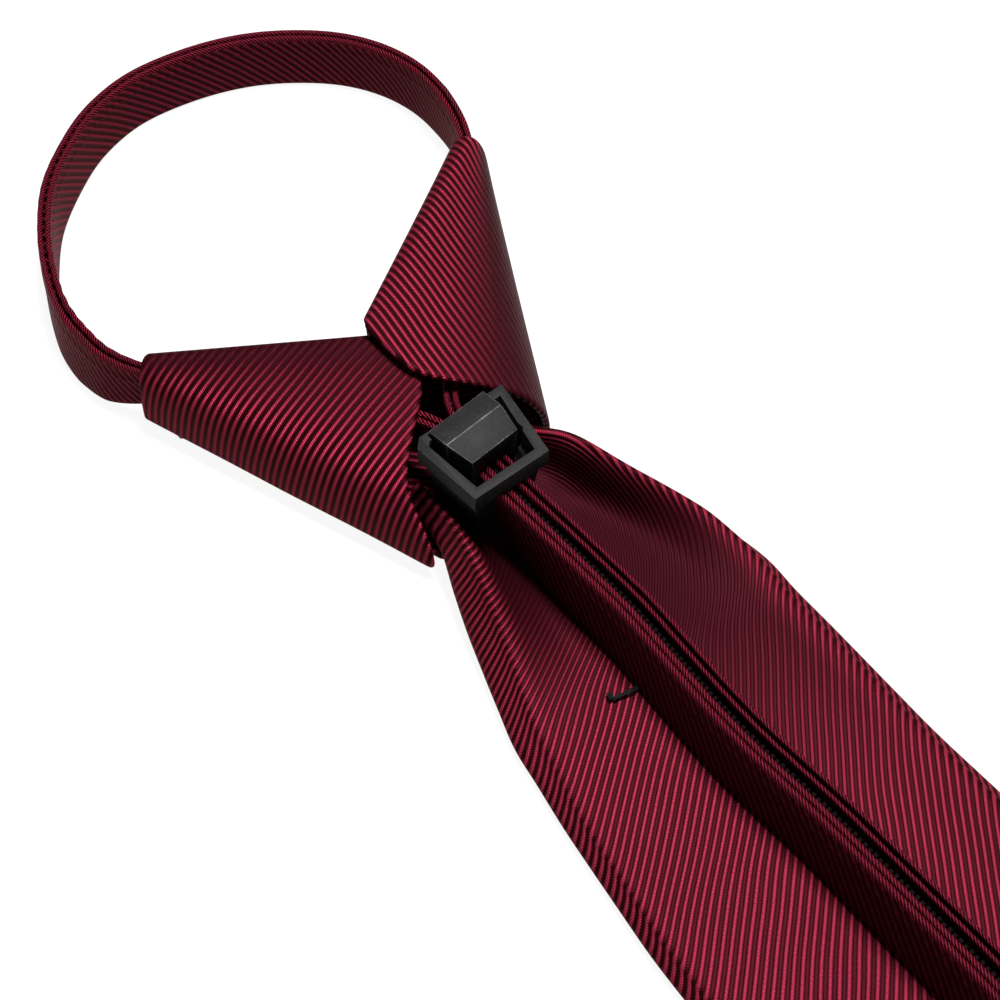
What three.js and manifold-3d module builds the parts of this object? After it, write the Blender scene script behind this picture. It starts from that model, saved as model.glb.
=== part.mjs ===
// A ready-knotted zipper tie lying face down, with the back of its knot up. Units are millimetres.
// +Y runs from the knot to the neck loop, +X to the right as seen from the back, +Z up.
// The wings of the knot meet at Y = 0, and every height is taken from the surface it lies on.
import * as THREE from 'three';
import * as BufferGeometryUtils from 'three/addons/utils/BufferGeometryUtils.js';
import Module from 'manifold-3d';

const wasm = await Module();
wasm.setup();

// Cloth and clearances
const clothWall = 1.6;
const seatGap = 0.3;

// Knot
const knotLength = 42;
const knotBottomLeft = 17.1;
const knotBottomRight = 15.8;
const knotDepth = 27.2;
const wingRoll = 3.2;
const crestOverlap = 4;
const frontThickness = 2;
const frontInset = 1.6;
const frontTopWidth = 54;
const frontTopReach = 7;

// Wing tips, where the neck loop comes out
const tipHeight = 18.4;
const tipWidth = 8;

// Zipper band of the neck loop and the tail
const bandHeight = 15.5;
const bandHeadroom = 0.5;
const tuckHeadroom = 1.55;
const bandLean = 3.8;
const bandGrip = 1.9;
const bandMerge = 18.1;
const bandThickness = 3;
const grooveWidth = 0.8;
const grooveDepth = 2.6;
const loopHalfWidth = 51.5;
const loopReach = 104;
const loopShift = 8.8;
const chainThickness = 0.9;
const chainHeight = 3;
const chainDrop = 1.6;
const tailLength = 240;
const tailSpread = 2.4;
const tailLean = 2.6;

// Plastic core and slider housing
const coreFarLeft = 11.5;
const coreFarRight = 11.5;
const coreNearLeft = 10.1;
const coreNearRight = 8.5;
const coreFar = 28.1;
const coreNear = 46.7;
const rimBar = 2;
const rimDepth = 4.4;
const rimOverhang = 1.1;
const rimDrop = 0.2;
const coreTaper = 1.6;
const coreWall = 1.8;
const coreFloor = 1.5;
const rimChamfer = 1.9;
const housingWidth = 14.7;
const housingFrontWidth = 12.2;
const housingLength = 11.4;
const housingRidge = 0.46;
const housingRise = 1.9;
const housingSlope = 1.1;
const housingBackSlope = 0.7;
const housingInset = 0.2;
const housingTurn = THREE.MathUtils.degToRad(4.3);
const archWidth = 8.5;
const archCover = 3;
const housingBaseShare = 0.86;
const housingOffset = -0.4;

// Blade
const bladeLength = 442;
const gatherLength = 110;
const bladeHalfWidth = 40.5;
const humpDrop = 9.2;
const foldNear = 1;
const foldFar = 1.6;
const seamGap = 0.7;
const tipTaper = 41;
const hemWidth = 12;
const kiteLength = 66;

// Colours of the two materials
const wineRed = 0x7a1024;
const plasticBlack = 0x141416;
const twill = { color: wineRed, roughness: 0.55, metalness: 0 };
const plastic = { color: plasticBlack, roughness: 0.5, metalness: 0 };

// Shared helpers for curves, walls and solids

const smooth = (low, high, value) => THREE.MathUtils.smoothstep(value, low, high);
const mix = THREE.MathUtils.lerp;

// One column of a table, read at a position between its rows
function tableAt(rows, column, position) {
  const last = rows.length - 1;
  if (position <= rows[0].at) {
    return rows[0][column];
  }
  if (position >= rows[last].at) {
    return rows[last][column];
  }
  const next = rows.findIndex((row) => row.at > position);
  const before = rows[next - 1];
  const after = rows[next];
  const share = (position - before.at) / (after.at - before.at);
  const eased = share * share * (3 - 2 * share);
  return mix(before[column], after[column], (share + eased) / 2);
}

// A closed body from points and triangles, turned so that its faces point out
function closedBody(points, triangles) {
  let volume = 0;
  const cross = new THREE.Vector3();
  for (const [a, b, c] of triangles) {
    cross.crossVectors(points[b], points[c]);
    volume += points[a].dot(cross);
  }
  const flat = volume < 0 ? triangles.map(([a, b, c]) => [a, c, b]).flat() : triangles.flat();
  const geometry = new THREE.BufferGeometry();
  const positions = points.flatMap((point) => [point.x, point.y, point.z]);
  geometry.setAttribute('position', new THREE.Float32BufferAttribute(positions, 3));
  geometry.setIndex(flat);
  geometry.computeVertexNormals();
  return geometry;
}

// Triangles of a grid of rows and columns whose points start at a given index
function gridTriangles(rows, columns, start, wrapped, flipped) {
  const triangles = [];
  const spans = wrapped ? columns : columns - 1;
  for (let row = 0; row < rows - 1; row += 1) {
    for (let column = 0; column < spans; column += 1) {
      const a = start + row * columns + column;
      const b = start + row * columns + ((column + 1) % columns);
      const c = a + columns;
      const d = b + columns;
      triangles.push(flipped ? [a, b, d] : [a, d, b], flipped ? [a, d, c] : [a, c, d]);
    }
  }
  return triangles;
}

// A cloth wall about a middle surface given as rows of points
function clothBody(middle, wall, wrapped) {
  const rows = middle.length;
  const columns = middle[0].length;
  const pick = (row, column) => {
    const r = THREE.MathUtils.clamp(row, 0, rows - 1);
    const wrap = (column + columns) % columns;
    return middle[r][wrapped ? wrap : THREE.MathUtils.clamp(column, 0, columns - 1)];
  };
  const upper = [];
  const lower = [];
  for (let row = 0; row < rows; row += 1) {
    for (let column = 0; column < columns; column += 1) {
      const along = pick(row + 1, column).clone().sub(pick(row - 1, column));
      const across = pick(row, column + 1).clone().sub(pick(row, column - 1));
      const normal = along.cross(across).normalize();
      const point = middle[row][column];
      upper.push(point.clone().addScaledVector(normal, wall / 2));
      lower.push(point.clone().addScaledVector(normal, -wall / 2));
    }
  }
  const count = rows * columns;
  const triangles = gridTriangles(rows, columns, 0, wrapped, false);
  triangles.push(...gridTriangles(rows, columns, count, wrapped, true));
  const seal = (a, b) => triangles.push([a, b, b + count], [a, b + count, a + count]);
  const spans = wrapped ? columns : columns - 1;
  for (let column = 0; column < spans; column += 1) {
    const next = (column + 1) % columns;
    seal(column, next);
    seal((rows - 1) * columns + next, (rows - 1) * columns + column);
  }
  if (!wrapped) {
    for (let row = 0; row < rows - 1; row += 1) {
      seal((row + 1) * columns, row * columns);
      seal(row * columns + columns - 1, (row + 1) * columns + columns - 1);
    }
  }
  return closedBody([...upper, ...lower], triangles);
}

// A solid lofted through rings of equal count, with both ends closed by the outline's own triangles
function loftedBody(rings, outline) {
  const columns = rings[0].length;
  const points = rings.flat();
  const triangles = gridTriangles(rings.length, columns, 0, true, false);
  const last = (rings.length - 1) * columns;
  const caps = THREE.ShapeUtils.triangulateShape(outline, []);
  const forward = THREE.ShapeUtils.isClockWise(outline) ? 1 : -1;
  for (const [a, b, c] of caps) {
    triangles.push(forward > 0 ? [a, c, b] : [a, b, c]);
    triangles.push(forward > 0 ? [last + a, last + b, last + c] : [last + a, last + c, last + b]);
  }
  return closedBody(points, triangles);
}

// Booleans on closed meshes
function toManifold(geometry) {
  const bare = geometry.clone();
  bare.deleteAttribute('normal');
  bare.deleteAttribute('uv');
  const merged = BufferGeometryUtils.mergeVertices(bare, 1e-4);
  const vertProperties = new Float32Array(merged.attributes.position.array);
  const triVerts = new Uint32Array(merged.index.array);
  return new wasm.Manifold(new wasm.Mesh({ numProp: 3, vertProperties, triVerts }));
}

function fromManifold(solid) {
  const mesh = solid.getMesh();
  const geometry = new THREE.BufferGeometry();
  geometry.setAttribute('position', new THREE.BufferAttribute(mesh.vertProperties, 3));
  geometry.setIndex(new THREE.BufferAttribute(mesh.triVerts, 1));
  geometry.computeVertexNormals();
  return geometry;
}

const tie = new THREE.Group();

function addPiece(name, geometry, finish) {
  const mesh = new THREE.Mesh(geometry, new THREE.MeshStandardMaterial(finish));
  mesh.name = name;
  tie.add(mesh);
  return mesh;
}

// Heights that the stacked pieces share, from the surface up
const wingFloor = frontThickness + seatGap + clothWall / 2;
const bladeInside = frontThickness + seatGap + clothWall + seatGap;
const bladeTopInside = bladeInside + 2 * foldNear + clothWall;
const bandFloor = bladeTopInside + seatGap;
const coreHeight = knotDepth - rimDrop;
const slotTop = coreHeight - rimDepth;
const bandPressed = slotTop - bandFloor - bandHeadroom;
const bladeHump = knotDepth - humpDrop;
const rightCrest = knotDepth - clothWall / 2;
const leftCrest = rightCrest - clothWall - crestOverlap * seatGap;

// Lines that the bands share: the housing's back and the middle of each of the two bands
const bandHalf = bandThickness / 2;
const housingAt = -(coreFar + housingInset);
const pairSpread = bandHalf + chainThickness / 2 + seatGap;

// The neck loop's route. Side and reach are shares of the loop's half width and reach, lift of the
// height that the bands have in the knot, lean of the band's lean. Wing names the sleeve that ends there.
const loopRoute = [
  { side: -0.575, reach: 0.135, lift: 0.62, lean: 0 },
  { side: -0.775, reach: 0.213, lift: 0.52, lean: 0 },
  { side: -0.928, reach: 0.283, lift: 0.5, lean: 0, wing: 'left' },
  { side: -1.005, reach: 0.362, lift: 0.22, lean: 0.7 },
  { side: -1.024, reach: 0.44, lift: 0.04, lean: 1 },
  { side: -1.012, reach: 0.533, lift: 0, lean: 1 },
  { side: -0.945, reach: 0.638, lift: 0, lean: 1 },
  { side: -0.845, reach: 0.737, lift: 0, lean: 0.9 },
  { side: -0.7, reach: 0.837, lift: 0, lean: 0.6 },
  { side: -0.521, reach: 0.911, lift: 0, lean: 0.3 },
  { side: -0.32, reach: 0.969, lift: 0, lean: 0.1 },
  { side: -0.07, reach: 1, lift: 0, lean: 0 },
  { side: 0.217, reach: 0.987, lift: 0, lean: 0 },
  { side: 0.474, reach: 0.945, lift: 0, lean: 0 },
  { side: 0.683, reach: 0.88, lift: 0, lean: 0 },
  { side: 0.849, reach: 0.8, lift: 0, lean: 0 },
  { side: 0.952, reach: 0.712, lift: 0, lean: 0 },
  { side: 1, reach: 0.618, lift: 0, lean: 0 },
  { side: 0.992, reach: 0.522, lift: 0.06, lean: 0 },
  { side: 0.946, reach: 0.43, lift: 0.26, lean: 0 },
  { side: 0.876, reach: 0.358, lift: 0.5, lean: 0, wing: 'right' },
  { side: 0.745, reach: 0.25, lift: 0.54, lean: 0 },
  { side: 0.51, reach: 0.112, lift: 0.62, lean: 0 },
];

function loopPoint(row) {
  return new THREE.Vector2(loopShift + row.side * loopHalfWidth, row.reach * loopReach);
}

const tipLift = loopRoute.find((row) => row.wing === 'left').lift * bandFloor;
const bandTucked = tipHeight - clothWall - tipLift - tuckHeadroom;

// Knot front: the wrap's front panel, narrower at its lower end, with a rounded rim
const frontBulge = 2;
const frontRim = 0.6;

function knotFront() {
  const topHalf = frontTopWidth / 2 - frontRim;
  const low = -knotLength + frontRim + frontInset;
  const high = frontTopReach - frontRim;
  const left = -knotBottomLeft + frontRim + clothWall + frontInset;
  const right = knotBottomRight - frontRim - clothWall - frontInset;
  const shape = new THREE.Shape();
  shape.moveTo(left, low);
  shape.quadraticCurveTo(0, low - frontBulge, right, low);
  shape.quadraticCurveTo(mix(right, topHalf, 0.5) + frontBulge, mix(low, high, 0.5), topHalf, high);
  shape.quadraticCurveTo(0, high + frontBulge, -topHalf, high);
  shape.quadraticCurveTo(mix(left, -topHalf, 0.5) - frontBulge, mix(low, high, 0.5), left, low);
  const geometry = new THREE.ExtrudeGeometry(shape, {
    depth: frontThickness - 2 * frontRim,
    bevelThickness: frontRim,
    bevelSize: frontRim,
    bevelSegments: 2,
    curveSegments: 7,
  });
  geometry.translate(0, 0, frontRim);
  return geometry;
}

addPiece('knot_front', knotFront(), twill);

// Wings: cloth sleeves ruled from a narrow tip round the neckband to a wide mouth on the core.
// Each runs from the outer fold over the back to the crest, down the neck side and along the front.
// Trim is the share of the way to the tip by which the mouth's outer corner is turned back.
const wings = {
  left: {
    outward: new THREE.Vector2(-0.82, -0.57),
    corner: new THREE.Vector2(-knotBottomLeft, -knotLength),
    crest: new THREE.Vector2(1.8, 0.4),
    foot: new THREE.Vector2(-2.8, wingRoll),
    crestHeight: leftCrest,
    mouthSwell: 3.2,
    trim: 0,
  },
  right: {
    outward: new THREE.Vector2(0.8, -0.6),
    corner: new THREE.Vector2(knotBottomRight, -knotLength),
    crest: new THREE.Vector2(-2.4, 1.4),
    foot: new THREE.Vector2(3, 3 + wingRoll),
    crestHeight: rightCrest,
    mouthSwell: -4,
    trim: 0.15,
  },
};
const tipRoundness = 3.6;
const mouthRoundness = 2;
const neckRoundness = 2.4;
const mouthPeak = 0.105;
const archSteps = 12;
const neckSteps = 5;
const frontSteps = 3;
const sleeveSteps = 12;

// Share across and share up of a quarter arch at one step, squarer for a larger roundness
function archShare(step, steps, roundness) {
  const angle = (step / steps) * (Math.PI / 2);
  const power = 2 / roundness;
  return { across: 1 - Math.cos(angle) ** power, up: Math.sin(angle) ** power };
}

function tipRing(tip, outward) {
  const ring = [];
  const half = tipWidth / 2;
  const outer = tip.clone().addScaledVector(outward, half);
  const inner = tip.clone().addScaledVector(outward, -half);
  const crestHeight = tipHeight - clothWall / 2;
  const place = (from, share) => {
    const at = from.clone().lerp(tip, share.across);
    ring.push(new THREE.Vector3(at.x, at.y, mix(wingFloor, crestHeight, share.up)));
  };
  for (let step = 0; step < archSteps; step += 1) {
    place(outer, archShare(step, archSteps, tipRoundness));
  }
  for (let step = neckSteps; step > 0; step -= 1) {
    place(inner, archShare(step, neckSteps, tipRoundness));
  }
  for (let step = 0; step < frontSteps; step += 1) {
    const at = inner.clone().lerp(outer, step / frontSteps);
    ring.push(new THREE.Vector3(at.x, at.y, wingFloor));
  }
  return ring;
}

function mouthRing(wing, tips) {
  const ring = [];
  for (let step = 0; step < archSteps; step += 1) {
    const share = archShare(step, archSteps, mouthRoundness);
    const at = wing.corner.clone().lerp(wing.crest, share.across);
    at.x += wing.mouthSwell * (share.across ** 3 * (1 - share.across)) / mouthPeak;
    const edge = new THREE.Vector3(at.x, at.y, mix(wingFloor, wing.crestHeight, share.up));
    ring.push(edge.lerp(tips[step], wing.trim * (1 - share.across) ** 3));
  }
  for (let step = neckSteps; step > 0; step -= 1) {
    const share = archShare(step, neckSteps, neckRoundness);
    const at = wing.foot.clone().lerp(wing.crest, share.across);
    ring.push(new THREE.Vector3(at.x, at.y, mix(wingFloor, wing.crestHeight, share.up)));
  }
  const foot = new THREE.Vector3(wing.foot.x, wing.foot.y, wingFloor);
  for (let step = 0; step < frontSteps; step += 1) {
    ring.push(foot.clone().lerp(ring[0], step / frontSteps));
  }
  return ring;
}

for (const [side, wing] of Object.entries(wings)) {
  const tips = tipRing(loopPoint(loopRoute.find((row) => row.wing === side)), wing.outward);
  const mouth = mouthRing(wing, tips);
  const rows = [];
  for (let row = 0; row <= sleeveSteps; row += 1) {
    rows.push(tips.map((point, index) => point.clone().lerp(mouth[index], row / sleeveSteps)));
  }
  addPiece(`${side}_wing`, clothBody(rows, clothWall, true), twill);
}

// Band section: a folded strip on edge with a groove between its two lips, as across and up
const lipRound = 0.45;
const grooveBottom = bandHeight - grooveDepth;
const steepestLean = 0.5;
const bandSection = [
  new THREE.Vector2(-bandHalf + lipRound, 0),
  new THREE.Vector2(bandHalf - lipRound, 0),
  new THREE.Vector2(bandHalf, lipRound * 2),
  new THREE.Vector2(bandHalf, bandHeight - lipRound),
  new THREE.Vector2(bandHalf - lipRound, bandHeight),
  new THREE.Vector2(grooveWidth / 2, bandHeight - lipRound),
  new THREE.Vector2(grooveWidth / 2, grooveBottom),
  new THREE.Vector2(-grooveWidth / 2, grooveBottom),
  new THREE.Vector2(-grooveWidth / 2, bandHeight - lipRound),
  new THREE.Vector2(-bandHalf + lipRound, bandHeight),
  new THREE.Vector2(-bandHalf, bandHeight - lipRound),
  new THREE.Vector2(-bandHalf, lipRound * 2),
];

// A band swept along a route on edge. Lean is how far its foot lies to the route's right of its
// lips, tall is its height there, and only what lies above the groove's depth keeps its size.
function bandBody(section, route, steps, lean, tall) {
  const rings = [];
  for (let step = 0; step <= steps; step += 1) {
    const share = step / steps;
    const at = route.getPointAt(share);
    const tangent = route.getTangentAt(share);
    const right = new THREE.Vector2(tangent.y, -tangent.x).normalize();
    const height = tall(share);
    const slant = THREE.MathUtils.clamp(lean(share, right) / height, -steepestLean, steepestLean);
    const tilt = Math.asin(slant);
    rings.push(section.map((corner) => {
      const up = Math.min(corner.y, grooveBottom) * ((height - grooveDepth) / grooveBottom)
        + Math.max(corner.y - grooveBottom, 0);
      const across = corner.x * Math.cos(tilt) + (height - up) * Math.sin(tilt);
      const rise = up * Math.cos(tilt) + (corner.x + bandHalf) * Math.abs(Math.sin(tilt));
      const foot = Math.max(at.z, 0);
      return new THREE.Vector3(at.x + right.x * across, at.y + right.y * across, foot + rise);
    }));
  }
  return loftedBody(rings, section);
}

// Neckband: one band from the slider housing through the left wing, round the neck and back.
// In the knot its two ends draw together. There out and up are shares of the length they merge in,
// from the middle line and from the housing's back, and press is 1 where a band has its pressed height.
const bandEnd = housingAt - bandGrip;
const leftMerge = [
  { out: 0, up: 0.171, press: 1 },
  { out: 0.088, up: 0.53, press: 0.286 },
  { out: 0.354, up: 0.945, press: 0 },
];
const rightMerge = [
  { out: 0, up: 0.171, press: 1 },
  { out: 0.044, up: 0.309, press: 1 },
  { out: 0.199, up: 0.558, press: 0.286 },
  { out: 0.552, up: 1, press: 0 },
];
const leanWay = new THREE.Vector2(-0.63, -0.78);
const tuckEases = 0.5;

// The band's curve, and its height and lean read at a share of its way
function neckRoute() {
  const points = [];
  const marks = [];
  const add = (x, y, z, tall, lean) => {
    points.push(new THREE.Vector3(x, y, z));
    marks.push({ tall, lean });
  };
  const merge = (row, side) => {
    const x = side * (pairSpread + row.out * bandMerge);
    add(x, housingAt + row.up * bandMerge, bandFloor, mix(bandTucked, bandPressed, row.press), 0);
  };
  add(-pairSpread, bandEnd, bandFloor, bandPressed, 0);
  for (const row of leftMerge) {
    merge(row, -1);
  }
  for (const row of loopRoute) {
    const at = loopPoint(row);
    const tall = mix(bandHeight, bandTucked, smooth(0, tuckEases, row.lift));
    add(at.x, at.y, row.lift * bandFloor, tall, row.lean * bandLean);
  }
  for (const row of rightMerge.toReversed()) {
    merge(row, 1);
  }
  add(pairSpread, bandEnd, bandFloor, bandPressed, 0);
  const curve = new THREE.CatmullRomCurve3(points, false, 'centripetal');
  const mark = (share, column) => {
    const place = curve.getUtoTmapping(share) * (points.length - 1);
    const row = Math.min(Math.floor(place), points.length - 2);
    return mix(marks[row][column], marks[row + 1][column], place - row);
  };
  return { curve, mark };
}

const neckSegments = 84;
const neck = neckRoute();
const neckTall = (share) => neck.mark(share, 'tall');
const neckLean = (share, right) => neck.mark(share, 'lean') * right.dot(leanWay);
addPiece('neckband', bandBody(bandSection, neck.curve, neckSegments, neckLean, neckTall), twill);

// Tail: the two bands closed side by side, out through the core and down along the blade.
// Sway is a share of the tail's spread, at is a share of its length, drop of its height at the exit.
const tailStart = bandEnd - seatGap;
const tailFloor = 2 * foldFar + clothWall + seatGap;
const tailSway = [
  { at: 0, sway: 0, drop: 0, lean: 0 },
  { at: 0.075, sway: 0, drop: 0, lean: 0 },
  { at: 0.13, sway: 0.6, drop: 0.7, lean: 0.8 },
  { at: 0.21, sway: 1, drop: 1, lean: 1 },
  { at: 0.31, sway: 0.45, drop: 1, lean: 1 },
  { at: 0.36, sway: 0.4, drop: 1, lean: 1 },
  { at: 0.44, sway: 0.85, drop: 1, lean: 1 },
  { at: 0.6, sway: 1, drop: 1, lean: 1 },
  { at: 0.8, sway: 0.5, drop: 1, lean: 1 },
  { at: 1, sway: 0, drop: 1, lean: 1 },
];
const tailSegments = 40;

function tailRoute(offset) {
  const points = [];
  const samples = 24;
  for (let sample = 0; sample <= samples; sample += 1) {
    const share = sample / samples;
    const x = offset + tableAt(tailSway, 'sway', share) * tailSpread;
    const z = mix(bandFloor, tailFloor, tableAt(tailSway, 'drop', share));
    points.push(new THREE.Vector3(x, tailStart - share * tailLength, z));
  }
  return new THREE.CatmullRomCurve3(points, false, 'centripetal');
}

const tailTall = () => bandPressed;
const tailRight = (share) => -tailLean * tableAt(tailSway, 'lean', share);
const tailLeft = (share) => tailLean * tableAt(tailSway, 'lean', share);
const tailBody = (offset, lean) => bandBody(bandSection, tailRoute(offset), tailSegments, lean, tailTall);
addPiece('tail_left', tailBody(-pairSpread, tailLeft), twill);
addPiece('tail_right', tailBody(pairSpread, tailRight), twill);

// Zipper chain: the closed teeth between the tail bands, a little below their lips
const chainTop = bandHeight - chainDrop;
const chainSection = [
  new THREE.Vector2(-chainThickness / 2, chainTop - chainHeight),
  new THREE.Vector2(chainThickness / 2, chainTop - chainHeight),
  new THREE.Vector2(chainThickness / 2, chainTop),
  new THREE.Vector2(-chainThickness / 2, chainTop),
];
const chainUpright = () => 0;
addPiece('zipper_chain', bandBody(chainSection, tailRoute(0), tailSegments, chainUpright, tailTall), plastic);

// Knot core: a tapered plastic box with a rim, open above, slotted front and back for the bands
const coreBottom = bladeTopInside + seatGap;
const slotHalf = pairSpread + bandHalf + seatGap;
const cutPast = 0.5;

function boxBetween(lower, upper, low, high) {
  const rings = [[lower, low], [upper, high]].map(([corners, height]) => (
    corners.map((corner) => new THREE.Vector3(corner.x, corner.y, height))
  ));
  return loftedBody(rings, lower);
}

// The four corners of the core's plan, set in by a wall and by a taper
function corePlan(inset, chamfer) {
  const far = -coreFar - inset;
  const near = -coreNear + inset;
  return [
    new THREE.Vector2(-coreNearLeft + inset, near),
    new THREE.Vector2(coreNearRight - inset, near),
    new THREE.Vector2(coreFarRight - inset, far),
    new THREE.Vector2(-coreFarLeft + inset + chamfer, far),
    new THREE.Vector2(-coreFarLeft + inset, far - chamfer),
  ];
}

function coreBody() {
  const innerChamfer = rimChamfer / 2;
  const rim = boxBetween(corePlan(0, rimChamfer), corePlan(0, rimChamfer), slotTop, coreHeight);
  const skirtTop = corePlan(rimOverhang, rimChamfer);
  const skirtBottom = corePlan(rimOverhang + coreTaper, rimChamfer);
  const skirt = boxBetween(skirtBottom, skirtTop, coreBottom, slotTop + cutPast);
  const rimInside = corePlan(rimBar, innerChamfer);
  const rimHollow = boxBetween(rimInside, rimInside, slotTop - cutPast, coreHeight + cutPast);
  const insideTop = corePlan(rimOverhang + coreWall, innerChamfer);
  const insideBottom = corePlan(rimOverhang + coreTaper + coreWall, innerChamfer);
  const skirtHollow = boxBetween(insideBottom, insideTop, coreBottom + coreFloor, slotTop);
  const slot = new THREE.BoxGeometry(2 * slotHalf, 2 * coreNear, slotTop);
  slot.translate(0, -(coreNear + coreFar) / 2, slotTop / 2);
  const seatTall = coreHeight + housingRise - coreBottom - coreFloor;
  const seat = new THREE.BoxGeometry(housingWidth + 2 * seatGap, housingLength + 2 * seatGap, seatTall);
  seat.translate(0, -housingLength / 2, coreBottom + coreFloor + seatTall / 2);
  seat.rotateZ(housingTurn);
  seat.translate(housingOffset, housingAt, 0);
  const solid = toManifold(rim).add(toManifold(skirt));
  const opened = solid.subtract(toManifold(rimHollow)).subtract(toManifold(skirtHollow));
  return fromManifold(opened.subtract(toManifold(slot)).subtract(toManifold(seat)));
}

addPiece('knot_core', coreBody(), plastic);

// Slider housing: a gabled block on the core's floor, its front end narrower, with an arched way
function housingBody() {
  const base = coreBottom + coreFloor + seatGap;
  const ridgeTop = coreHeight + housingRise;
  const stations = [
    { along: 0, width: housingWidth, top: ridgeTop - housingBackSlope },
    { along: housingRidge, width: housingWidth, top: ridgeTop },
    { along: 1, width: housingFrontWidth, top: ridgeTop - housingSlope },
  ];
  const outline = (width, top) => [
    new THREE.Vector2((-width / 2) * housingBaseShare, base),
    new THREE.Vector2((width / 2) * housingBaseShare, base),
    new THREE.Vector2(width / 2, top),
    new THREE.Vector2(-width / 2, top),
  ];
  const rings = stations.map((row) => outline(row.width, row.top).map((corner) => (
    new THREE.Vector3(corner.x, -row.along * housingLength, corner.y)
  )));
  const block = loftedBody(rings, outline(stations[0].width, stations[0].top));
  const archTop = ridgeTop - housingSlope - archCover;
  const spring = archTop - archWidth / 2;
  const way = new THREE.Shape();
  way.moveTo(-archWidth / 2, base - cutPast);
  way.lineTo(archWidth / 2, base - cutPast);
  way.lineTo(archWidth / 2, spring);
  way.absarc(0, spring, archWidth / 2, 0, Math.PI, false);
  way.lineTo(-archWidth / 2, base - cutPast);
  const bore = { depth: 3 * housingLength, bevelEnabled: false, curveSegments: 8 };
  const tunnel = new THREE.ExtrudeGeometry(way, bore);
  tunnel.rotateX(Math.PI / 2);
  tunnel.translate(-housingOffset, housingLength, 0);
  tunnel.rotateZ(-housingTurn);
  return fromManifold(toManifold(block).subtract(toManifold(tunnel)));
}

const housing = addPiece('slider_housing', housingBody(), plastic);
housing.position.set(housingOffset, housingAt, 0);
housing.rotation.z = housingTurn;

// Blade: one cloth from the centre seam out over a hump, under as the front panel and back again.
// A row sets the section at a distance below the knot, where at is a share of the gather's length.
// Side, ridge and trough are shares of the half width there, which grows from the knot's to the
// blade's. The hump is a share of its height at the knot, and rise of its lift inside the knot.
const gatherOpens = 0.42;
const bladeShape = [
  { at: -0.118, rise: 1, leftSide: 0.805, leftRidge: 0.699, leftHump: 0.8, leftTrough: 0.592,
    rightSide: 0.82, rightRidge: 0.769, rightHump: 0.78, rightTrough: 0.679 },
  { at: -0.06, rise: 1, leftSide: 0.812, leftRidge: 0.703, leftHump: 0.84, leftTrough: 0.568,
    rightSide: 1.051, rightRidge: 1.012, rightHump: 0.88, rightTrough: 0.654 },
  { at: -0.02, rise: 1, leftSide: 0.829, leftRidge: 0.722, leftHump: 0.93, leftTrough: 0.557,
    rightSide: 1.205, rightRidge: 1.179, rightHump: 0.97, rightTrough: 0.628 },
  { at: 0.005, rise: 0.85, leftSide: 0.876, leftRidge: 0.746, leftHump: 0.94, leftTrough: 0.544,
    rightSide: 1.294, rightRidge: 1.273, rightHump: 1, rightTrough: 0.615 },
  { at: 0.055, rise: 0.2, leftSide: 0.973, leftRidge: 0.734, leftHump: 0.88, leftTrough: 0.49,
    rightSide: 1.349, rightRidge: 1.337, rightHump: 0.9, rightTrough: 0.525 },
  { at: 0.13, rise: 0, leftSide: 0.912, leftRidge: 0.668, leftHump: 0.7, leftTrough: 0.361,
    rightSide: 1.238, rightRidge: 1.228, rightHump: 0.76, rightTrough: 0.416 },
  { at: 0.22, rise: 0, leftSide: 0.793, leftRidge: 0.601, leftHump: 0.5, leftTrough: 0.273,
    rightSide: 1.088, rightRidge: 1.074, rightHump: 0.55, rightTrough: 0.335 },
  { at: 0.31, rise: 0, leftSide: 0.728, leftRidge: 0.588, leftHump: 0.36, leftTrough: 0.244,
    rightSide: 0.959, rightRidge: 0.915, rightHump: 0.4, rightTrough: 0.335 },
  { at: 0.42, rise: 0, leftSide: 0.74, leftRidge: 0.63, leftHump: 0.27, leftTrough: 0.3,
    rightSide: 0.895, rightRidge: 0.83, rightHump: 0.28, rightTrough: 0.4 },
  { at: 0.55, rise: 0, leftSide: 0.805, leftRidge: 0.73, leftHump: 0.23, leftTrough: 0.4,
    rightSide: 0.89, rightRidge: 0.83, rightHump: 0.23, rightTrough: 0.5 },
  { at: 0.82, rise: 0, leftSide: 0.9, leftRidge: 0.84, leftHump: 0.222, leftTrough: 0.5,
    rightSide: 0.865, rightRidge: 0.81, rightHump: 0.222, rightTrough: 0.5 },
  { at: 1, rise: 0, leftSide: 0.928, leftRidge: 0.87, leftHump: 0.222, leftTrough: 0.5,
    rightSide: 0.877, rightRidge: 0.82, rightHump: 0.222, rightTrough: 0.5 },
  { at: 3.4, rise: 0, leftSide: 1, leftRidge: 0.94, leftHump: 0.222, leftTrough: 0.5,
    rightSide: 1, rightRidge: 0.94, rightHump: 0.222, rightTrough: 0.5 },
];

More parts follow.
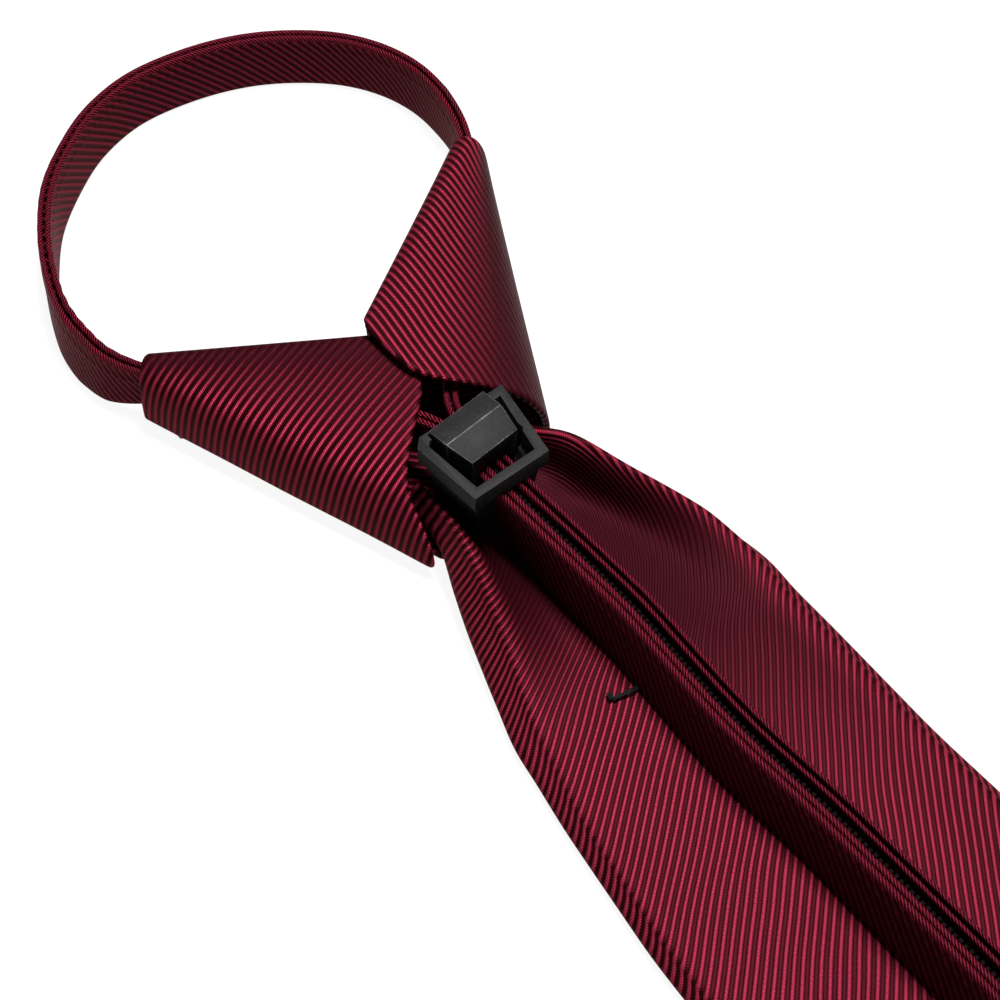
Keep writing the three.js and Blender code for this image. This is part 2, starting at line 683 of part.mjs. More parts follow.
// Turns of one side of the section. Across runs from one named line to another. Climb is the share
// of the way up from the bottom to the hump, and fall of the way down from it to the level flap.
const sectionTurns = [
  { from: 'middle', to: 'side', across: 0, climb: 0, fall: 0 },
  { from: 'middle', to: 'side', across: 0.6, climb: 0, fall: 0 },
  { from: 'middle', to: 'bend', across: 1, climb: 0.036, fall: 0 },
  { from: 'middle', to: 'side', across: 1, climb: 0.42, fall: 0 },
  { from: 'side', to: 'ridge', across: 0.72, climb: 0.84, fall: 0 },
  { from: 'side', to: 'ridge', across: 1, climb: 1, fall: 0 },
  { from: 'ridge', to: 'trough', across: 0.4, climb: 1, fall: 0.3 },
  { from: 'ridge', to: 'trough', across: 1, climb: 1, fall: 0.93 },
  { from: 'trough', to: 'middle', across: 0.45, climb: 1, fall: 1 },
  { from: 'trough', to: 'middle', across: 1, climb: 1, fall: 1 },
];
const bendShare = 0.18;
const ridgeRoom = 0.4;
const troughRoom = 0.8;
const bottomTurns = 2;
const bottomSteps = 5;
const sideSteps = 14;
const flapSteps = 8;
const tipBluntness = 3.2;
const bladeStations = [
  -0.118, -0.06, -0.02, 0.005, 0.03, 0.055, 0.09, 0.13, 0.175, 0.22, 0.265,
  0.31, 0.365, 0.42, 0.485, 0.55, 0.68, 0.82, 1, 1.4, 2, 2.8,
];
const tipStations = [1.75, 1.55, 1.3, 1, 0.75, 0.5, 0.25, 0];

// One side of the section from the bottom's middle to the flap's edge, as across and up
function bladeSide(row, side, half, edge, base, fold) {
  const read = (column) => row[side + column] * half;
  const level = base + 2 * fold;
  const hump = Math.max(row[`${side}Hump`] * bladeHump - clothWall / 2, level);
  const reach = read('Side');
  const ridge = Math.min(read('Ridge'), reach - fold * ridgeRoom);
  const bend = reach - Math.min(hump - base, reach) * bendShare;
  const lines = { middle: 0, side: reach, bend, ridge, trough: Math.min(read('Trough'), ridge * troughRoom) };
  const flank = new THREE.CatmullRomCurve3(sectionTurns.map((turn) => {
    const x = mix(lines[turn.from], lines[turn.to], turn.across);
    return new THREE.Vector3(x, 0, mix(mix(base, hump, turn.climb), level, turn.fall));
  }), false, 'centripetal');
  const bottomShare = bottomTurns / (sectionTurns.length - 1);
  const points = [];
  for (let step = 0; step < bottomSteps; step += 1) {
    points.push(flank.getPoint((step / bottomSteps) * bottomShare));
  }
  for (let step = 0; step <= sideSteps; step += 1) {
    points.push(flank.getPoint(mix(bottomShare, 1, step / sideSteps)));
  }
  for (const point of points) {
    point.z = Math.max(point.z, base);
  }
  return stopAtEdge(points, edge);
}

// The same points with the last ones drawn in, so that the flap stops at its edge
function stopAtEdge(points, edge) {
  const stop = points.length - 1;
  let keep = stop;
  while (points[keep - 1].x < edge && keep > stop - flapSteps) {
    keep -= 1;
  }
  const before = points[keep - 1];
  const cut = before.clone().lerp(points[stop], (before.x - edge) / Math.max(before.x, edge));
  for (let index = keep; index <= stop; index += 1) {
    points[index] = before.clone().lerp(cut, (index - keep + 1) / (stop - keep + 1));
  }
  return points;
}

// How far from the centre the back flaps' edges lie, opening as a kite above the tip
function flapEdge(fromTip, half) {
  const opening = smooth(tipTaper * 0.98, kiteLength, fromTip);
  const wide = Math.max(half - hemWidth * Math.SQRT2, seamGap / 2);
  return mix(wide, seamGap / 2, opening);
}

function bladeBody() {
  const rows = [];
  const addRow = (down) => {
    const fromTip = bladeLength - down;
    const row = { at: down / gatherLength };
    for (const column of Object.keys(bladeShape[0]).slice(1)) {
      row[column] = tableAt(bladeShape, column, row.at);
    }
    const blunt = tipBluntness / bladeHalfWidth;
    const narrowing = Math.min(1, blunt + (fromTip / tipTaper) * (1 - blunt));
    const fold = mix(foldNear, foldFar, smooth(0, 0.13, row.at));
    const base = clothWall / 2 + row.rise * bladeInside;
    const edge = flapEdge(fromTip, bladeHalfWidth * narrowing);
    const y = -knotLength - down;
    const opened = smooth(0, gatherOpens, row.at);
    const leftHalf = mix(knotBottomLeft, bladeHalfWidth, opened) * narrowing;
    const rightHalf = mix(knotBottomRight, bladeHalfWidth, opened) * narrowing;
    const left = bladeSide(row, 'left', leftHalf, edge, base, fold);
    const right = bladeSide(row, 'right', rightHalf, edge, base, fold);
    const ring = left.reverse().map((point) => new THREE.Vector3(-point.x, y, point.z));
    ring.push(...right.slice(1).map((point) => new THREE.Vector3(point.x, y, point.z)));
    rows.push(ring);
  };
  for (const station of bladeStations) {
    addRow(station * gatherLength);
  }
  for (const station of tipStations) {
    addRow(bladeLength - station * tipTaper);
  }
  return clothBody(rows, clothWall, false);
}

addPiece('blade', bladeBody(), twill);

// The origin is the middle of the tie's foot, on the surface
const extent = new THREE.Box3().setFromObject(tie);
const middle = extent.getCenter(new THREE.Vector3());
tie.position.set(-middle.x, -middle.y, -extent.min.z);
tie.updateMatrixWorld(true);

export default tie;
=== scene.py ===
import math

import bmesh
import bpy
import numpy as np
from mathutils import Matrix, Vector, noise


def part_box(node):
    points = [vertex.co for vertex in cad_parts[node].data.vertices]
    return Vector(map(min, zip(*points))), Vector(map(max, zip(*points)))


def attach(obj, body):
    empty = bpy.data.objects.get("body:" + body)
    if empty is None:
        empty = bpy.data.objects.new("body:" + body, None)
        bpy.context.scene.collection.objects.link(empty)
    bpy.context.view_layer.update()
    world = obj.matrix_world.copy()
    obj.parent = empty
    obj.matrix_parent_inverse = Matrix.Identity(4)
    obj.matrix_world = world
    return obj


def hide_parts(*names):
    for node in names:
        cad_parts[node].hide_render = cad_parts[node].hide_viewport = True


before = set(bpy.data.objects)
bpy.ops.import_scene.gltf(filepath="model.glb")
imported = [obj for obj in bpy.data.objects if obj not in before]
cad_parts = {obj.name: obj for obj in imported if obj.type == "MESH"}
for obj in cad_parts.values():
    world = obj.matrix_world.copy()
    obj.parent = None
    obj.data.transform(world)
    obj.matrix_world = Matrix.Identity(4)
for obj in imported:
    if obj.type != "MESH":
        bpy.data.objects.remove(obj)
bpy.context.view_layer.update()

# Camera
# The tie is seen from its back, over the left wing, as it lies face down. Lengths in this script are
# millimetres from the knot's own middle line and the line where its wings meet, turned to metres at the end.
core_near = 46.7
core_low, core_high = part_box("knot_core")
knot = Vector(((core_low.x + core_high.x) / 2, core_low.y + core_near / 1000, 0))


def placed(x, y, z):
    """A place given in millimetres from the knot, in metres in the frame."""
    return Vector((x, y, z)) / 1000 + knot


view_azimuth = math.radians(-38.81)
view_elevation = math.radians(56.24)
view_distance = 0.42161
view_target = placed(4.86, -35.76, 0)
towards_camera = Vector((
    math.sin(view_azimuth) * math.cos(view_elevation),
    -math.cos(view_azimuth) * math.cos(view_elevation),
    math.sin(view_elevation),
))
camera = bpy.data.objects.new("camera", bpy.data.cameras.new("camera"))
camera.data.lens = 72
camera.data.sensor_width = 36
camera.location = view_target + towards_camera * view_distance
camera.rotation_euler = (math.pi / 2 - view_elevation, 0, view_azimuth)
bpy.context.scene.collection.objects.link(camera)
bpy.context.scene.camera = camera

# Blade
# The wide blade of the tie: one ribbed twill cloth over an interlining, folded to a front panel and two
# back flaps that meet in the middle. Where it comes out of the knot it isn't pressed flat, so the flaps
# stand up in soft humps beside the core. Its end is a mitred point.
cloth_wall = 1.6
seat_gap = 0.3
front_thickness = 2
fold_near = 1
fold_far = 1.6
fold_widens = 0.13
knot_length = 42
knot_depth = 27.2
knot_bottom = {"left": 17.1, "right": 15.8}
blade_length = 442
blade_insert = 13
gather_length = 110
gather_opens = 0.42
blade_half = 40.5
hump_drop = 9.2
hump_height = knot_depth - hump_drop
hem_width = 12
kite_length = 66
tip_taper = 41
tip_bluntness = 3.2
kite_starts = 0.98
seam_gap = 0.5
blade_steps = 132
row_crowding = 1.22
table_blend = 5
blend_samples = 9
blend_bell = 1.3
rib_turn = math.radians(135)

# Where the cloth is drawn together below the knot its ribs turn and crowd, by so many millimetres for each
# millimetre round from the fold or up the flank. It fades out along the gather's length.
flap_turn = {"left": 0.03, "right": 0.2}
flap_crowding = {"left": 0, "right": 0.95}
crowding_fades = (0.02, 0.45)
flank_turn = {"left": 1.2, "right": 0}
flank_turn_ends = 0.4

# The flaps' soft ripple: its waves across and along and the layer of the noise that they are read in.
ripple_long = (24, 34, 3)
ripple_short = (9, 13, 7)
ripple_short_share = 0.4
ripple_height = 0.42
ripple_from_fold = 14
ripple_from_tip = 20

# A row sets the section at a distance below the knot: at is a share of the gather's length. Side, ridge
# and trough are shares of the half width, hump of its height, rise of the blade's lift in the knot.
blade_columns = (
    "at", "rise", "left_side", "left_ridge", "left_hump", "left_trough",
    "right_side", "right_ridge", "right_hump", "right_trough",
)
blade_rows = (
    (-0.118, 1.00, 0.805, 0.699, 0.800, 0.592, 0.820, 0.769, 0.780, 0.679),
    (-0.060, 1.00, 0.812, 0.703, 0.840, 0.568, 1.051, 1.012, 0.880, 0.800),
    (-0.020, 1.00, 0.829, 0.722, 0.930, 0.557, 1.205, 1.179, 0.970, 0.900),
    (0.005, 0.85, 0.876, 0.746, 0.940, 0.544, 1.294, 1.273, 1.000, 0.980),
    (0.055, 0.20, 0.973, 0.734, 0.880, 0.490, 1.349, 1.337, 0.900, 1.030),
    (0.130, 0.00, 0.912, 0.668, 0.700, 0.361, 1.238, 1.228, 0.760, 0.950),
    (0.220, 0.00, 0.793, 0.601, 0.500, 0.273, 1.088, 1.074, 0.550, 0.780),
    (0.310, 0.00, 0.728, 0.588, 0.360, 0.244, 0.959, 0.915, 0.400, 0.600),
    (0.420, 0.00, 0.740, 0.630, 0.270, 0.300, 0.895, 0.830, 0.280, 0.450),
    (0.550, 0.00, 0.805, 0.730, 0.230, 0.400, 0.890, 0.830, 0.230, 0.500),
    (0.820, 0.00, 0.900, 0.840, 0.222, 0.500, 0.865, 0.810, 0.222, 0.500),
    (1.000, 0.00, 0.928, 0.870, 0.222, 0.500, 0.877, 0.820, 0.222, 0.500),
    (3.400, 0.00, 1.000, 0.940, 0.222, 0.500, 1.000, 0.940, 0.222, 0.500),
)
# Turns of one side of the section: across runs from one named line to the next, climb is the share of
# the way up from the bottom to the hump, fall of the way down from it to the level flap.
section_turns = (
    ("middle", "side", 0.00, 0.000, 0.00),
    ("middle", "side", 0.60, 0.000, 0.00),
    ("middle", "bend", 1.00, 0.036, 0.00),
    ("middle", "side", 1.00, 0.420, 0.00),
    ("side", "ridge", 0.72, 0.840, 0.00),
    ("side", "ridge", 1.00, 1.000, 0.00),
    ("ridge", "trough", 0.40, 1.000, 0.30),
    ("ridge", "trough", 1.00, 1.000, 0.93),
    ("trough", "middle", 0.45, 1.000, 1.00),
    ("trough", "middle", 1.00, 1.000, 1.00),
)
bottom_turn = 2
fold_turn = 3
flap_turn_from = 5
turn_samples = 60
bottom_points = 7
hump_points = 15
flap_points = 17

# A share at each point, from 0 for full ribs to 1, flattens the cloth's ribs and darkens it to a dull red,
# which here is painted shade. The flaps' inner slopes in the trough get this painted shade as far as the
# fades, shares of the gather's length, and so does a strip beside the tail.
shade_turns = (5.1, 6.0)
trough_shade = 0.9
trough_shade_fades = {"left": (0.12, 0.5), "right": (0.3, 1.0)}
tail_shade = {"left": 0, "right": 0.65}
tail_shade_reach = (3, 17)
tail_shade_fades = (1.4, 2.3)
bend_share = 0.18
ridge_room = 0.4
trough_room = 0.8


def mix(low, high, share):
    return low + (high - low) * share


def eased(low, high, value):
    """A smooth step from 0 at low to 1 at high."""
    share = np.clip((value - low) / (high - low), 0, 1)
    return share * share * (3 - 2 * share)


def table_at(columns, rows, places, blend):
    """The table's columns at each place along its first one, with its corners softened over a width."""
    table = np.array(rows, float).T
    offsets = np.linspace(-blend, blend, blend_samples)
    weights = np.cos(np.linspace(-blend_bell, blend_bell, blend_samples))
    spread = np.asarray(places)[:, None] + offsets
    return {
        name: np.interp(spread, table[0], column) @ weights / weights.sum()
        for name, column in zip(columns, table)
    }


def curve_through(points, places):
    """A smooth curve through points, at places that count the points from 0."""
    points = np.asarray(points, float)
    ends = np.vstack([2 * points[0] - points[1], points, 2 * points[-1] - points[-2]])
    spans = np.maximum(np.sqrt(np.linalg.norm(np.diff(ends, axis=0), axis=1)), 1e-4)[:, None]
    first = np.clip(np.floor(places).astype(int), 0, len(points) - 2)
    share = (np.asarray(places) - first)[:, None]
    a, b, c, d = (ends[first + step] for step in range(4))
    before, here, after = (spans[first + step] for step in range(3))
    leave = ((b - a) / before - (c - a) / (before + here) + (c - b) / here) * here
    arrive = ((c - b) / here - (d - b) / (here + after) + (d - c) / after) * here
    bend = share * (2 * (b - c) + leave + arrive) + 3 * (c - b) - 2 * leave - arrive
    return b + share * (leave + share * bend)


def along_curve(points):
    """How far along a run of points each one lies."""
    return np.concatenate([[0], np.cumsum(np.linalg.norm(np.diff(points, axis=0), axis=1))])


def ribbed(u, v, turn):
    """Cloth coordinates across and along the ribs, for ribs at an angle to the flat cloth's own axes."""
    return u * math.sin(turn) - v * math.cos(turn), u * math.cos(turn) + v * math.sin(turn)


def ripple_at(x, y, waves):
    across, along, layer = waves
    return noise.noise(Vector((x / across, y / along, layer)))


def cloth_grid(points, flat, pressed=None):
    """A bmesh grid moved onto rows of points, whose UVs hold the flat cloth's coordinates."""
    rows, columns = points.shape[:2]
    cloth = bmesh.new()
    uv = cloth.loops.layers.uv.new("UVMap")
    press_and_shade = cloth.verts.layers.float.new("pressed") if pressed is not None else None
    bmesh.ops.create_grid(cloth, x_segments=columns - 1, y_segments=rows - 1, size=1)
    for vert in cloth.verts:
        column = round((vert.co.x + 1) / 2 * (columns - 1))
        row = round((vert.co.y + 1) / 2 * (rows - 1))
        vert.co = placed(*points[row, column])
        if press_and_shade:
            vert[press_and_shade] = pressed[row, column]
        for loop in vert.link_loops:
            loop[uv].uv = flat[row, column]
    return cloth


def finished(name, shape, materials, wall=0, levels=1):
    """A piece from a bmesh, with its wall and its soft edges made by modifiers, riding on the tie."""
    mesh = bpy.data.meshes.new(name)
    for face in shape.faces:
        face.smooth = True
    shape.to_mesh(mesh)
    shape.free()
    piece = bpy.data.objects.new(name, mesh)
    bpy.context.scene.collection.objects.link(piece)
    for material in materials:
        mesh.materials.append(material)
    if wall:
        shell = piece.modifiers.new("wall", "SOLIDIFY")
        shell.thickness = wall / 1000
        shell.offset = 0
    if levels:
        soft = piece.modifiers.new("soft", "SUBSURF")
        soft.levels = soft.render_levels = levels
    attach(piece, "root")
    return piece


def linked(tree, kind, inputs, **settings):
    """A node with its settings made and its inputs filled, from values or from other nodes' outputs."""
    node = tree.nodes.new(kind)
    for name, value in settings.items():
        setattr(node, name, value)
    for name, value in inputs.items():
        if isinstance(value, bpy.types.NodeSocket):
            tree.links.new(value, node.inputs[name])
        else:
            node.inputs[name].default_value = value
    return node


def maths(tree, operation, *values):
    node = linked(tree, "ShaderNodeMath", dict(enumerate(values)), operation=operation)
    return node.outputs[0]


rib_pitch = 1.68
rib_wander = 0.8
rib_foot = 0.16
rib_crown = 0.9
rib_relief = 0.0004
thread_pitch = 0.46
thread_slant = 1.6
thread_shine = 0.45
thread_relief = 0.22
grain_shine = 0.4
least_shine = 0.2
pressed_fade = 0.75
pressed_level = 0.05
pressed_metal = 0.12
full_metal = 0.5
rib_red = (0.066, 0.0052, 0.0112, 1)
# A light tone for a painted highlight on the threads of the rib crowns.
rib_highlight = (0.23, 0.018, 0.038, 1)
# The valleys' dark red, partly the weave's own tone and partly painted shade.
valley_red = (0.012, 0.0009, 0.0020, 1)
# The dull dark red of flattened cloth, which also serves as painted shade.
pressed_red = (0.012, 0.0010, 0.0022, 1)


def make_twill(name, pitch):
    """Ribbed twill: crimson ribs of slanting threads, with dark valleys between them. The light tone on the
    threads of the rib crowns is a painted highlight, and the valleys' dark is partly the weave's own tone and
    partly painted shade.
    """
    twill = bpy.data.materials.new(name)
    twill.use_nodes = True
    tree = twill.node_tree
    surface = tree.nodes["Principled BSDF"]
    cloth = linked(tree, "ShaderNodeUVMap", {}, uv_map="UVMap")
    place = linked(tree, "ShaderNodeSeparateXYZ", {"Vector": cloth.outputs["UV"]})
    drift = linked(tree, "ShaderNodeTexNoise", {"Vector": cloth.outputs["UV"], "Scale": 0.05, "Detail": 1})
    wander = maths(tree, "MULTIPLY", maths(tree, "SUBTRACT", drift.outputs[0], 0.5), rib_wander)
    across = maths(tree, "DIVIDE", maths(tree, "ADD", place.outputs["X"], wander), pitch)
    turn = maths(tree, "MULTIPLY", across, 2 * math.pi)
    wave = maths(tree, "MULTIPLY_ADD", maths(tree, "COSINE", turn), 0.5, 0.5)
    rib = linked(tree, "ShaderNodeMapRange", {"Value": wave, "From Min": rib_foot, "From Max": rib_crown},
                 interpolation_type="SMOOTHSTEP").outputs[0]
    pressed = linked(tree, "ShaderNodeAttribute", {}, attribute_name="pressed")
    fullness = maths(tree, "MULTIPLY_ADD", pressed.outputs["Fac"], -pressed_fade, 1.0)
    rib = maths(tree, "MULTIPLY_ADD", maths(tree, "SUBTRACT", rib, pressed_level), fullness, pressed_level)
    lane = maths(tree, "ADD", maths(tree, "DIVIDE", place.outputs["Y"], thread_pitch),
                 maths(tree, "MULTIPLY", across, thread_slant))
    slant = maths(tree, "MULTIPLY", lane, 2 * math.pi)
    thread = maths(tree, "MULTIPLY_ADD", maths(tree, "COSINE", slant), 0.5, 0.5)
    speck = linked(tree, "ShaderNodeTexNoise", {"Vector": cloth.outputs["UV"], "Scale": 2.6, "Detail": 3,
                                                "Roughness": 0.7})
    grain = linked(tree, "ShaderNodeMapRange", {"Value": speck.outputs[0], "From Min": 0.3, "From Max": 0.7})
    grainy = maths(tree, "MULTIPLY_ADD", grain.outputs[0], grain_shine, least_shine)
    # Painted light: the shine lightens the crowns' threads as a painted highlight, and the body darkens the
    # valleys, partly as painted shade.
    shine = maths(tree, "MULTIPLY", rib, maths(tree, "MULTIPLY_ADD", thread, thread_shine, grainy))
    body = linked(tree, "ShaderNodeMix", {"Factor": rib, "A": valley_red, "B": rib_red}, data_type="RGBA")
    threads = linked(tree, "ShaderNodeMix", {"Factor": shine, "A": body.outputs["Result"], "B": rib_highlight},
                     data_type="RGBA")
    # The pressed share darkens the colour to the dull red and lowers the sheen. On the lips this is flatter
    # cloth, on the loop's and tail's faces it is flatter cloth and painted shade, and on the blade's trough,
    # the strip beside the tail and the wings it is painted shade.
    dulled_and_shaded = linked(tree, "ShaderNodeMix", {"Factor": pressed.outputs["Fac"], "A": threads.outputs["Result"],
                                            "B": pressed_red}, data_type="RGBA")
    tree.links.new(dulled_and_shaded.outputs["Result"], surface.inputs["Base Color"])
    twist = maths(tree, "MULTIPLY", maths(tree, "MULTIPLY", rib, thread), thread_relief)
    height = maths(tree, "ADD", rib, twist)
    relief = linked(tree, "ShaderNodeBump", {"Height": height, "Strength": 1.0, "Distance": rib_relief})
    tree.links.new(relief.outputs[0], surface.inputs["Normal"])
    metal = linked(tree, "ShaderNodeMapRange", {"Value": fullness, "To Min": pressed_metal,
                                                "To Max": full_metal})
    tree.links.new(metal.outputs[0], surface.inputs["Metallic"])
    surface.inputs["Roughness"].default_value = 0.48
    surface.inputs["Specular IOR Level"].default_value = 0.05
    surface.inputs["Specular Tint"].default_value = (0.7, 0.25, 0.3, 1)
    return twill


twill = make_twill("wine_ribbed_twill", rib_pitch)


def section_side(row, side, half, edge, base, fold):
    """One side of the blade's section from its middle below to the flap's edge: its points, the way round to
    each, how much painted shade each gets, and the ways to the fold and to the flank's two ends."""
    level = base + 2 * fold
    hump = max(row[side + "_hump"] * hump_height - cloth_wall / 2, level)
    reach = row[side + "_side"] * half
    ridge = min(row[side + "_ridge"] * half, reach - fold * ridge_room)
    lines = {
        "middle": 0,
        "side": reach,
        "bend": reach - min(hump - base, reach) * bend_share,
        "ridge": ridge,
        "trough": min(row[side + "_trough"] * half, ridge * trough_room),
    }
    turns = [
        (mix(lines[start], lines[stop], across), mix(mix(base, hump, climb), level, fall))
        for start, stop, across, climb, fall in section_turns
    ]
    last = len(turns) - 1
    places = np.linspace(0, last, turn_samples * last + 1)
    fine = curve_through(turns, places)
    fine[:, 1] = np.maximum(fine[:, 1], base)
    way = along_curve(fine)
    flap = places >= flap_turn_from
    stop = float(np.interp(-edge, -fine[flap, 0], places[flap]))
    chosen = np.concatenate([
        np.linspace(0, bottom_turn, bottom_points)[:-1],
        np.linspace(bottom_turn, flap_turn_from, hump_points)[:-1],
        np.linspace(flap_turn_from, stop, flap_points),
    ])
    points = np.column_stack([np.interp(chosen, places, fine[:, axis]) for axis in (0, 1)])
    ways = np.interp(chosen, places, way)
    # Painted shade on the trough's inner slope, between these turns.
    painted_shade = eased(*shade_turns, chosen)
    marks = [float(np.interp(turn, places, way)) for turn in (fold_turn, bottom_turn, flap_turn_from)]
    return points, ways, painted_shade, marks


def blade_surface():
    """Rows of the whole section from inside the knot to the tip, with their flat places and painted shade."""
    shares = np.linspace(0, 1, blade_steps + 1)
    downs = -blade_insert + (blade_length + blade_insert) * shares ** row_crowding
    rows = table_at(blade_columns, blade_rows, downs / gather_length, table_blend / gather_length)
    points, flat, pressed = [], [], []
    inside = front_thickness + 2 * seat_gap + cloth_wall
    for index, down in enumerate(downs):
        row = {name: column[index] for name, column in rows.items()}
        at = down / gather_length
        from_tip = blade_length - down
        blunt = tip_bluntness / blade_half
        narrowing = min(1, blunt + from_tip / tip_taper * (1 - blunt))
        fold = mix(fold_near, fold_far, eased(0, fold_widens, at))
        base = cloth_wall / 2 + row["rise"] * inside
        opening = eased(tip_taper * kite_starts, kite_length, from_tip)
        wide = max(blade_half * narrowing - hem_width * math.sqrt(2), seam_gap / 2)
        edge = mix(wide, seam_gap / 2, opening)
        opened = eased(0, gather_opens, at)
        y = -knot_length - down
        ring, coords, press_and_shade = [], [], []
        for side, sign in (("left", -1), ("right", 1)):
            half = mix(knot_bottom[side], blade_half, opened) * narrowing
            section, ways, painted_shade, (fold_way, flank_low, flank_high) = section_side(
                row, side, half, edge, base, fold)
            # Painted shade on the trough's inner slopes, fading along the gather, and on a strip beside the
            # tail where the tail's shade falls.
            painted_shade = painted_shade * trough_shade * (1 - eased(*trough_shade_fades[side], at))
            beside = tail_shade[side] * (1 - eased(*tail_shade_fades, at))
            beside = beside * (1 - eased(*tail_shade_reach, section[:, 0]))
            painted_shade = np.maximum(painted_shade, beside * (ways > fold_way))
            part = []
            for (across, up), way, press in zip(section, ways, painted_shade):
                beyond = max(way - fold_way, 0)
                x = sign * across
                ripple = ripple_at(x, y, ripple_long) + ripple_short_share * ripple_at(x, y, ripple_short)
                lift = ripple * ripple_height
                lift *= eased(0, ripple_from_fold, beyond) * eased(0, ripple_from_tip, from_tip)
                crowd = flap_crowding[side] * (1 - eased(*crowding_fades, at)) * beyond
                climbed = min(max(way, flank_low), flank_high) - flank_low
                climbed *= 1 - eased(0, flank_turn_ends, at)
                flat_y = y + flap_turn[side] * beyond + sign * crowd + flank_turn[side] * climbed
                part.append(((x, y, up + lift), ribbed(sign * way, flat_y, rib_turn), press))
            part = part[::-1] if sign < 0 else part[1:]
            ring += [place for place, _, _ in part]
            coords += [coord for _, coord, _ in part]
            press_and_shade += [press for _, _, press in part]
        points.append(ring)
        flat.append(coords)
        pressed.append(press_and_shade)
    return np.array(points), np.array(flat), np.array(pressed)


blade = finished("blade_cloth", cloth_grid(*blade_surface()), [twill], cloth_wall)
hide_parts("blade")

# Front of the knot
# The panel of the same twill that wraps the front of the knot, over the core. It lies on the table, so it
# only shows from low down, as a rounded edge below the wings.
front_top = 54
front_reach = 7
front_inset = 1.6
front_bulge = 2
front_rim = 0.06
front_rim_lift = 0.22
front_rows = 31
front_columns = 41


def front_surface():
    """The panel's rows from the knot's foot to its top, with a lifted rim and sides that bulge a little."""
    low = -knot_length + front_inset
    left = -knot_bottom["left"] + cloth_wall + front_inset
    right = knot_bottom["right"] - cloth_wall - front_inset
    points, flat = [], []
    for up in np.linspace(0, 1, front_rows):
        bow = front_bulge * 2 * up * (1 - up)
        start = mix(left, -front_top / 2, up) - bow
        stop = mix(right, front_top / 2, up) + bow
        row, coords = [], []
        for across in np.linspace(0, 1, front_columns):
            sag = front_bulge * 2 * across * (1 - across) * (2 * up - 1)
            x = mix(start, stop, across)
            y = mix(low, front_reach, up) + sag
            rim = min(across, 1 - across, up, 1 - up)
            row.append((x, y, front_thickness / 2 + front_rim_lift * (1 - eased(0, front_rim, rim))))
            coords.append(ribbed(x, y, rib_turn))
        points.append(row)
        flat.append(coords)
    return np.array(points), np.array(flat)


knot_panel = finished("knot_front_panel", cloth_grid(*front_surface()), [twill], front_thickness)
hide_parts("knot_front")

# Neckband
# One folded strip of the twill, stitched into a band that stands on edge, with a groove along its top
# where the zipper's tape runs, between two lips of finer ribs. It makes the neck loop and goes through
# both wings into the slider housing.
band_height = 15.5
band_headroom = 0.5
tuck_headroom = 1.55
band_lean = 3.8
band_grip = 1.9
band_merge = 18.1
band_half = 1.5
band_samples = 40
steepest_lean = 0.5
lift_settles = 0.5
lip_zone = 5
lip_depth = 1.15
lip_pitch = 0.62
lip_press = 0.05
lip_twill = make_twill("wine_sewn_lip", lip_pitch)
groove_half = 0.5
pinch_zone = 3
pinch_aside = 0.35
pinch_down = 0.5
seam_merge = 1e-6
chain_thickness = 0.9
rim_drop = 0.2
rim_depth = 4.4
tip_height = 18.4
core_far = 28.1
housing_inset = 0.2
loop_half = 51.5
loop_reach = 104
loop_shift = 8.8
lean_way = np.array((-0.63, -0.78))
band_floor = front_thickness + 3 * seat_gap + 2 * cloth_wall + 2 * fold_near
band_pressed = knot_depth - rim_drop - rim_depth - band_floor - band_headroom
band_tucked = tip_height - cloth_wall - 0.5 * band_floor - tuck_headroom
pair_spread = band_half + chain_thickness / 2 + seat_gap
housing_at = -(core_far + housing_inset)
band_end = housing_at - band_grip

# Side and reach are shares of the loop's half width and reach, lift of the bands' height in the knot.
loop_route = (
    (-0.575, 0.135, 0.62, 0.0), (-0.775, 0.213, 0.52, 0.0), (-0.928, 0.283, 0.50, 0.0),
    (-1.005, 0.362, 0.22, 0.7), (-1.024, 0.440, 0.04, 1.0), (-1.012, 0.533, 0.00, 1.0),
    (-0.945, 0.638, 0.00, 1.0), (-0.845, 0.737, 0.00, 0.9), (-0.700, 0.837, 0.00, 0.6),
    (-0.521, 0.911, 0.00, 0.3), (-0.320, 0.969, 0.00, 0.1), (-0.070, 1.000, 0.00, 0.0),
    (0.217, 0.987, 0.00, 0.0), (0.474, 0.945, 0.00, 0.0), (0.683, 0.880, 0.00, 0.0),
    (0.849, 0.800, 0.00, 0.0), (0.952, 0.712, 0.00, 0.0), (1.000, 0.618, 0.00, 0.0),
    (0.992, 0.522, 0.06, 0.0), (0.946, 0.430, 0.26, 0.0), (0.876, 0.358, 0.50, 0.0),
    (0.745, 0.250, 0.54, 0.0), (0.510, 0.112, 0.62, 0.0),
)
# Out and up are shares of the length in which the two ends draw together, press of the pressed height.
left_merge = ((0.0, 0.171, 1.0), (0.088, 0.530, 0.286), (0.354, 0.945, 0.0))
right_merge = ((0.552, 1.0, 0.0), (0.199, 0.558, 0.286), (0.044, 0.309, 1.0), (0.0, 0.171, 1.0))

# The band's outline from the middle of its foot up its right side to the middle of its groove: across
# is a share of its half thickness, body of its height up to the lips, drop is measured below the lips.
band_outline = (
    (0.00, 0.00, None), (0.55, 0.00, None), (0.90, 0.04, None), (1.00, 0.12, None), (1.00, 0.35, None),
    (1.00, 0.70, None), (1.00, 1.00, None), (1.02, None, 4.25), (1.13, None, 3.95), (1.02, None, 3.60),
    (1.00, None, 2.40), (1.04, None, 1.10), (1.00, None, 0.42), (0.84, None, 0.08), (0.62, None, 0.00),
    (0.42, None, 0.14), (0.30, None, 0.60), (0.24, None, 1.40), (0.20, None, 2.20), (0.00, None, 2.45),
)


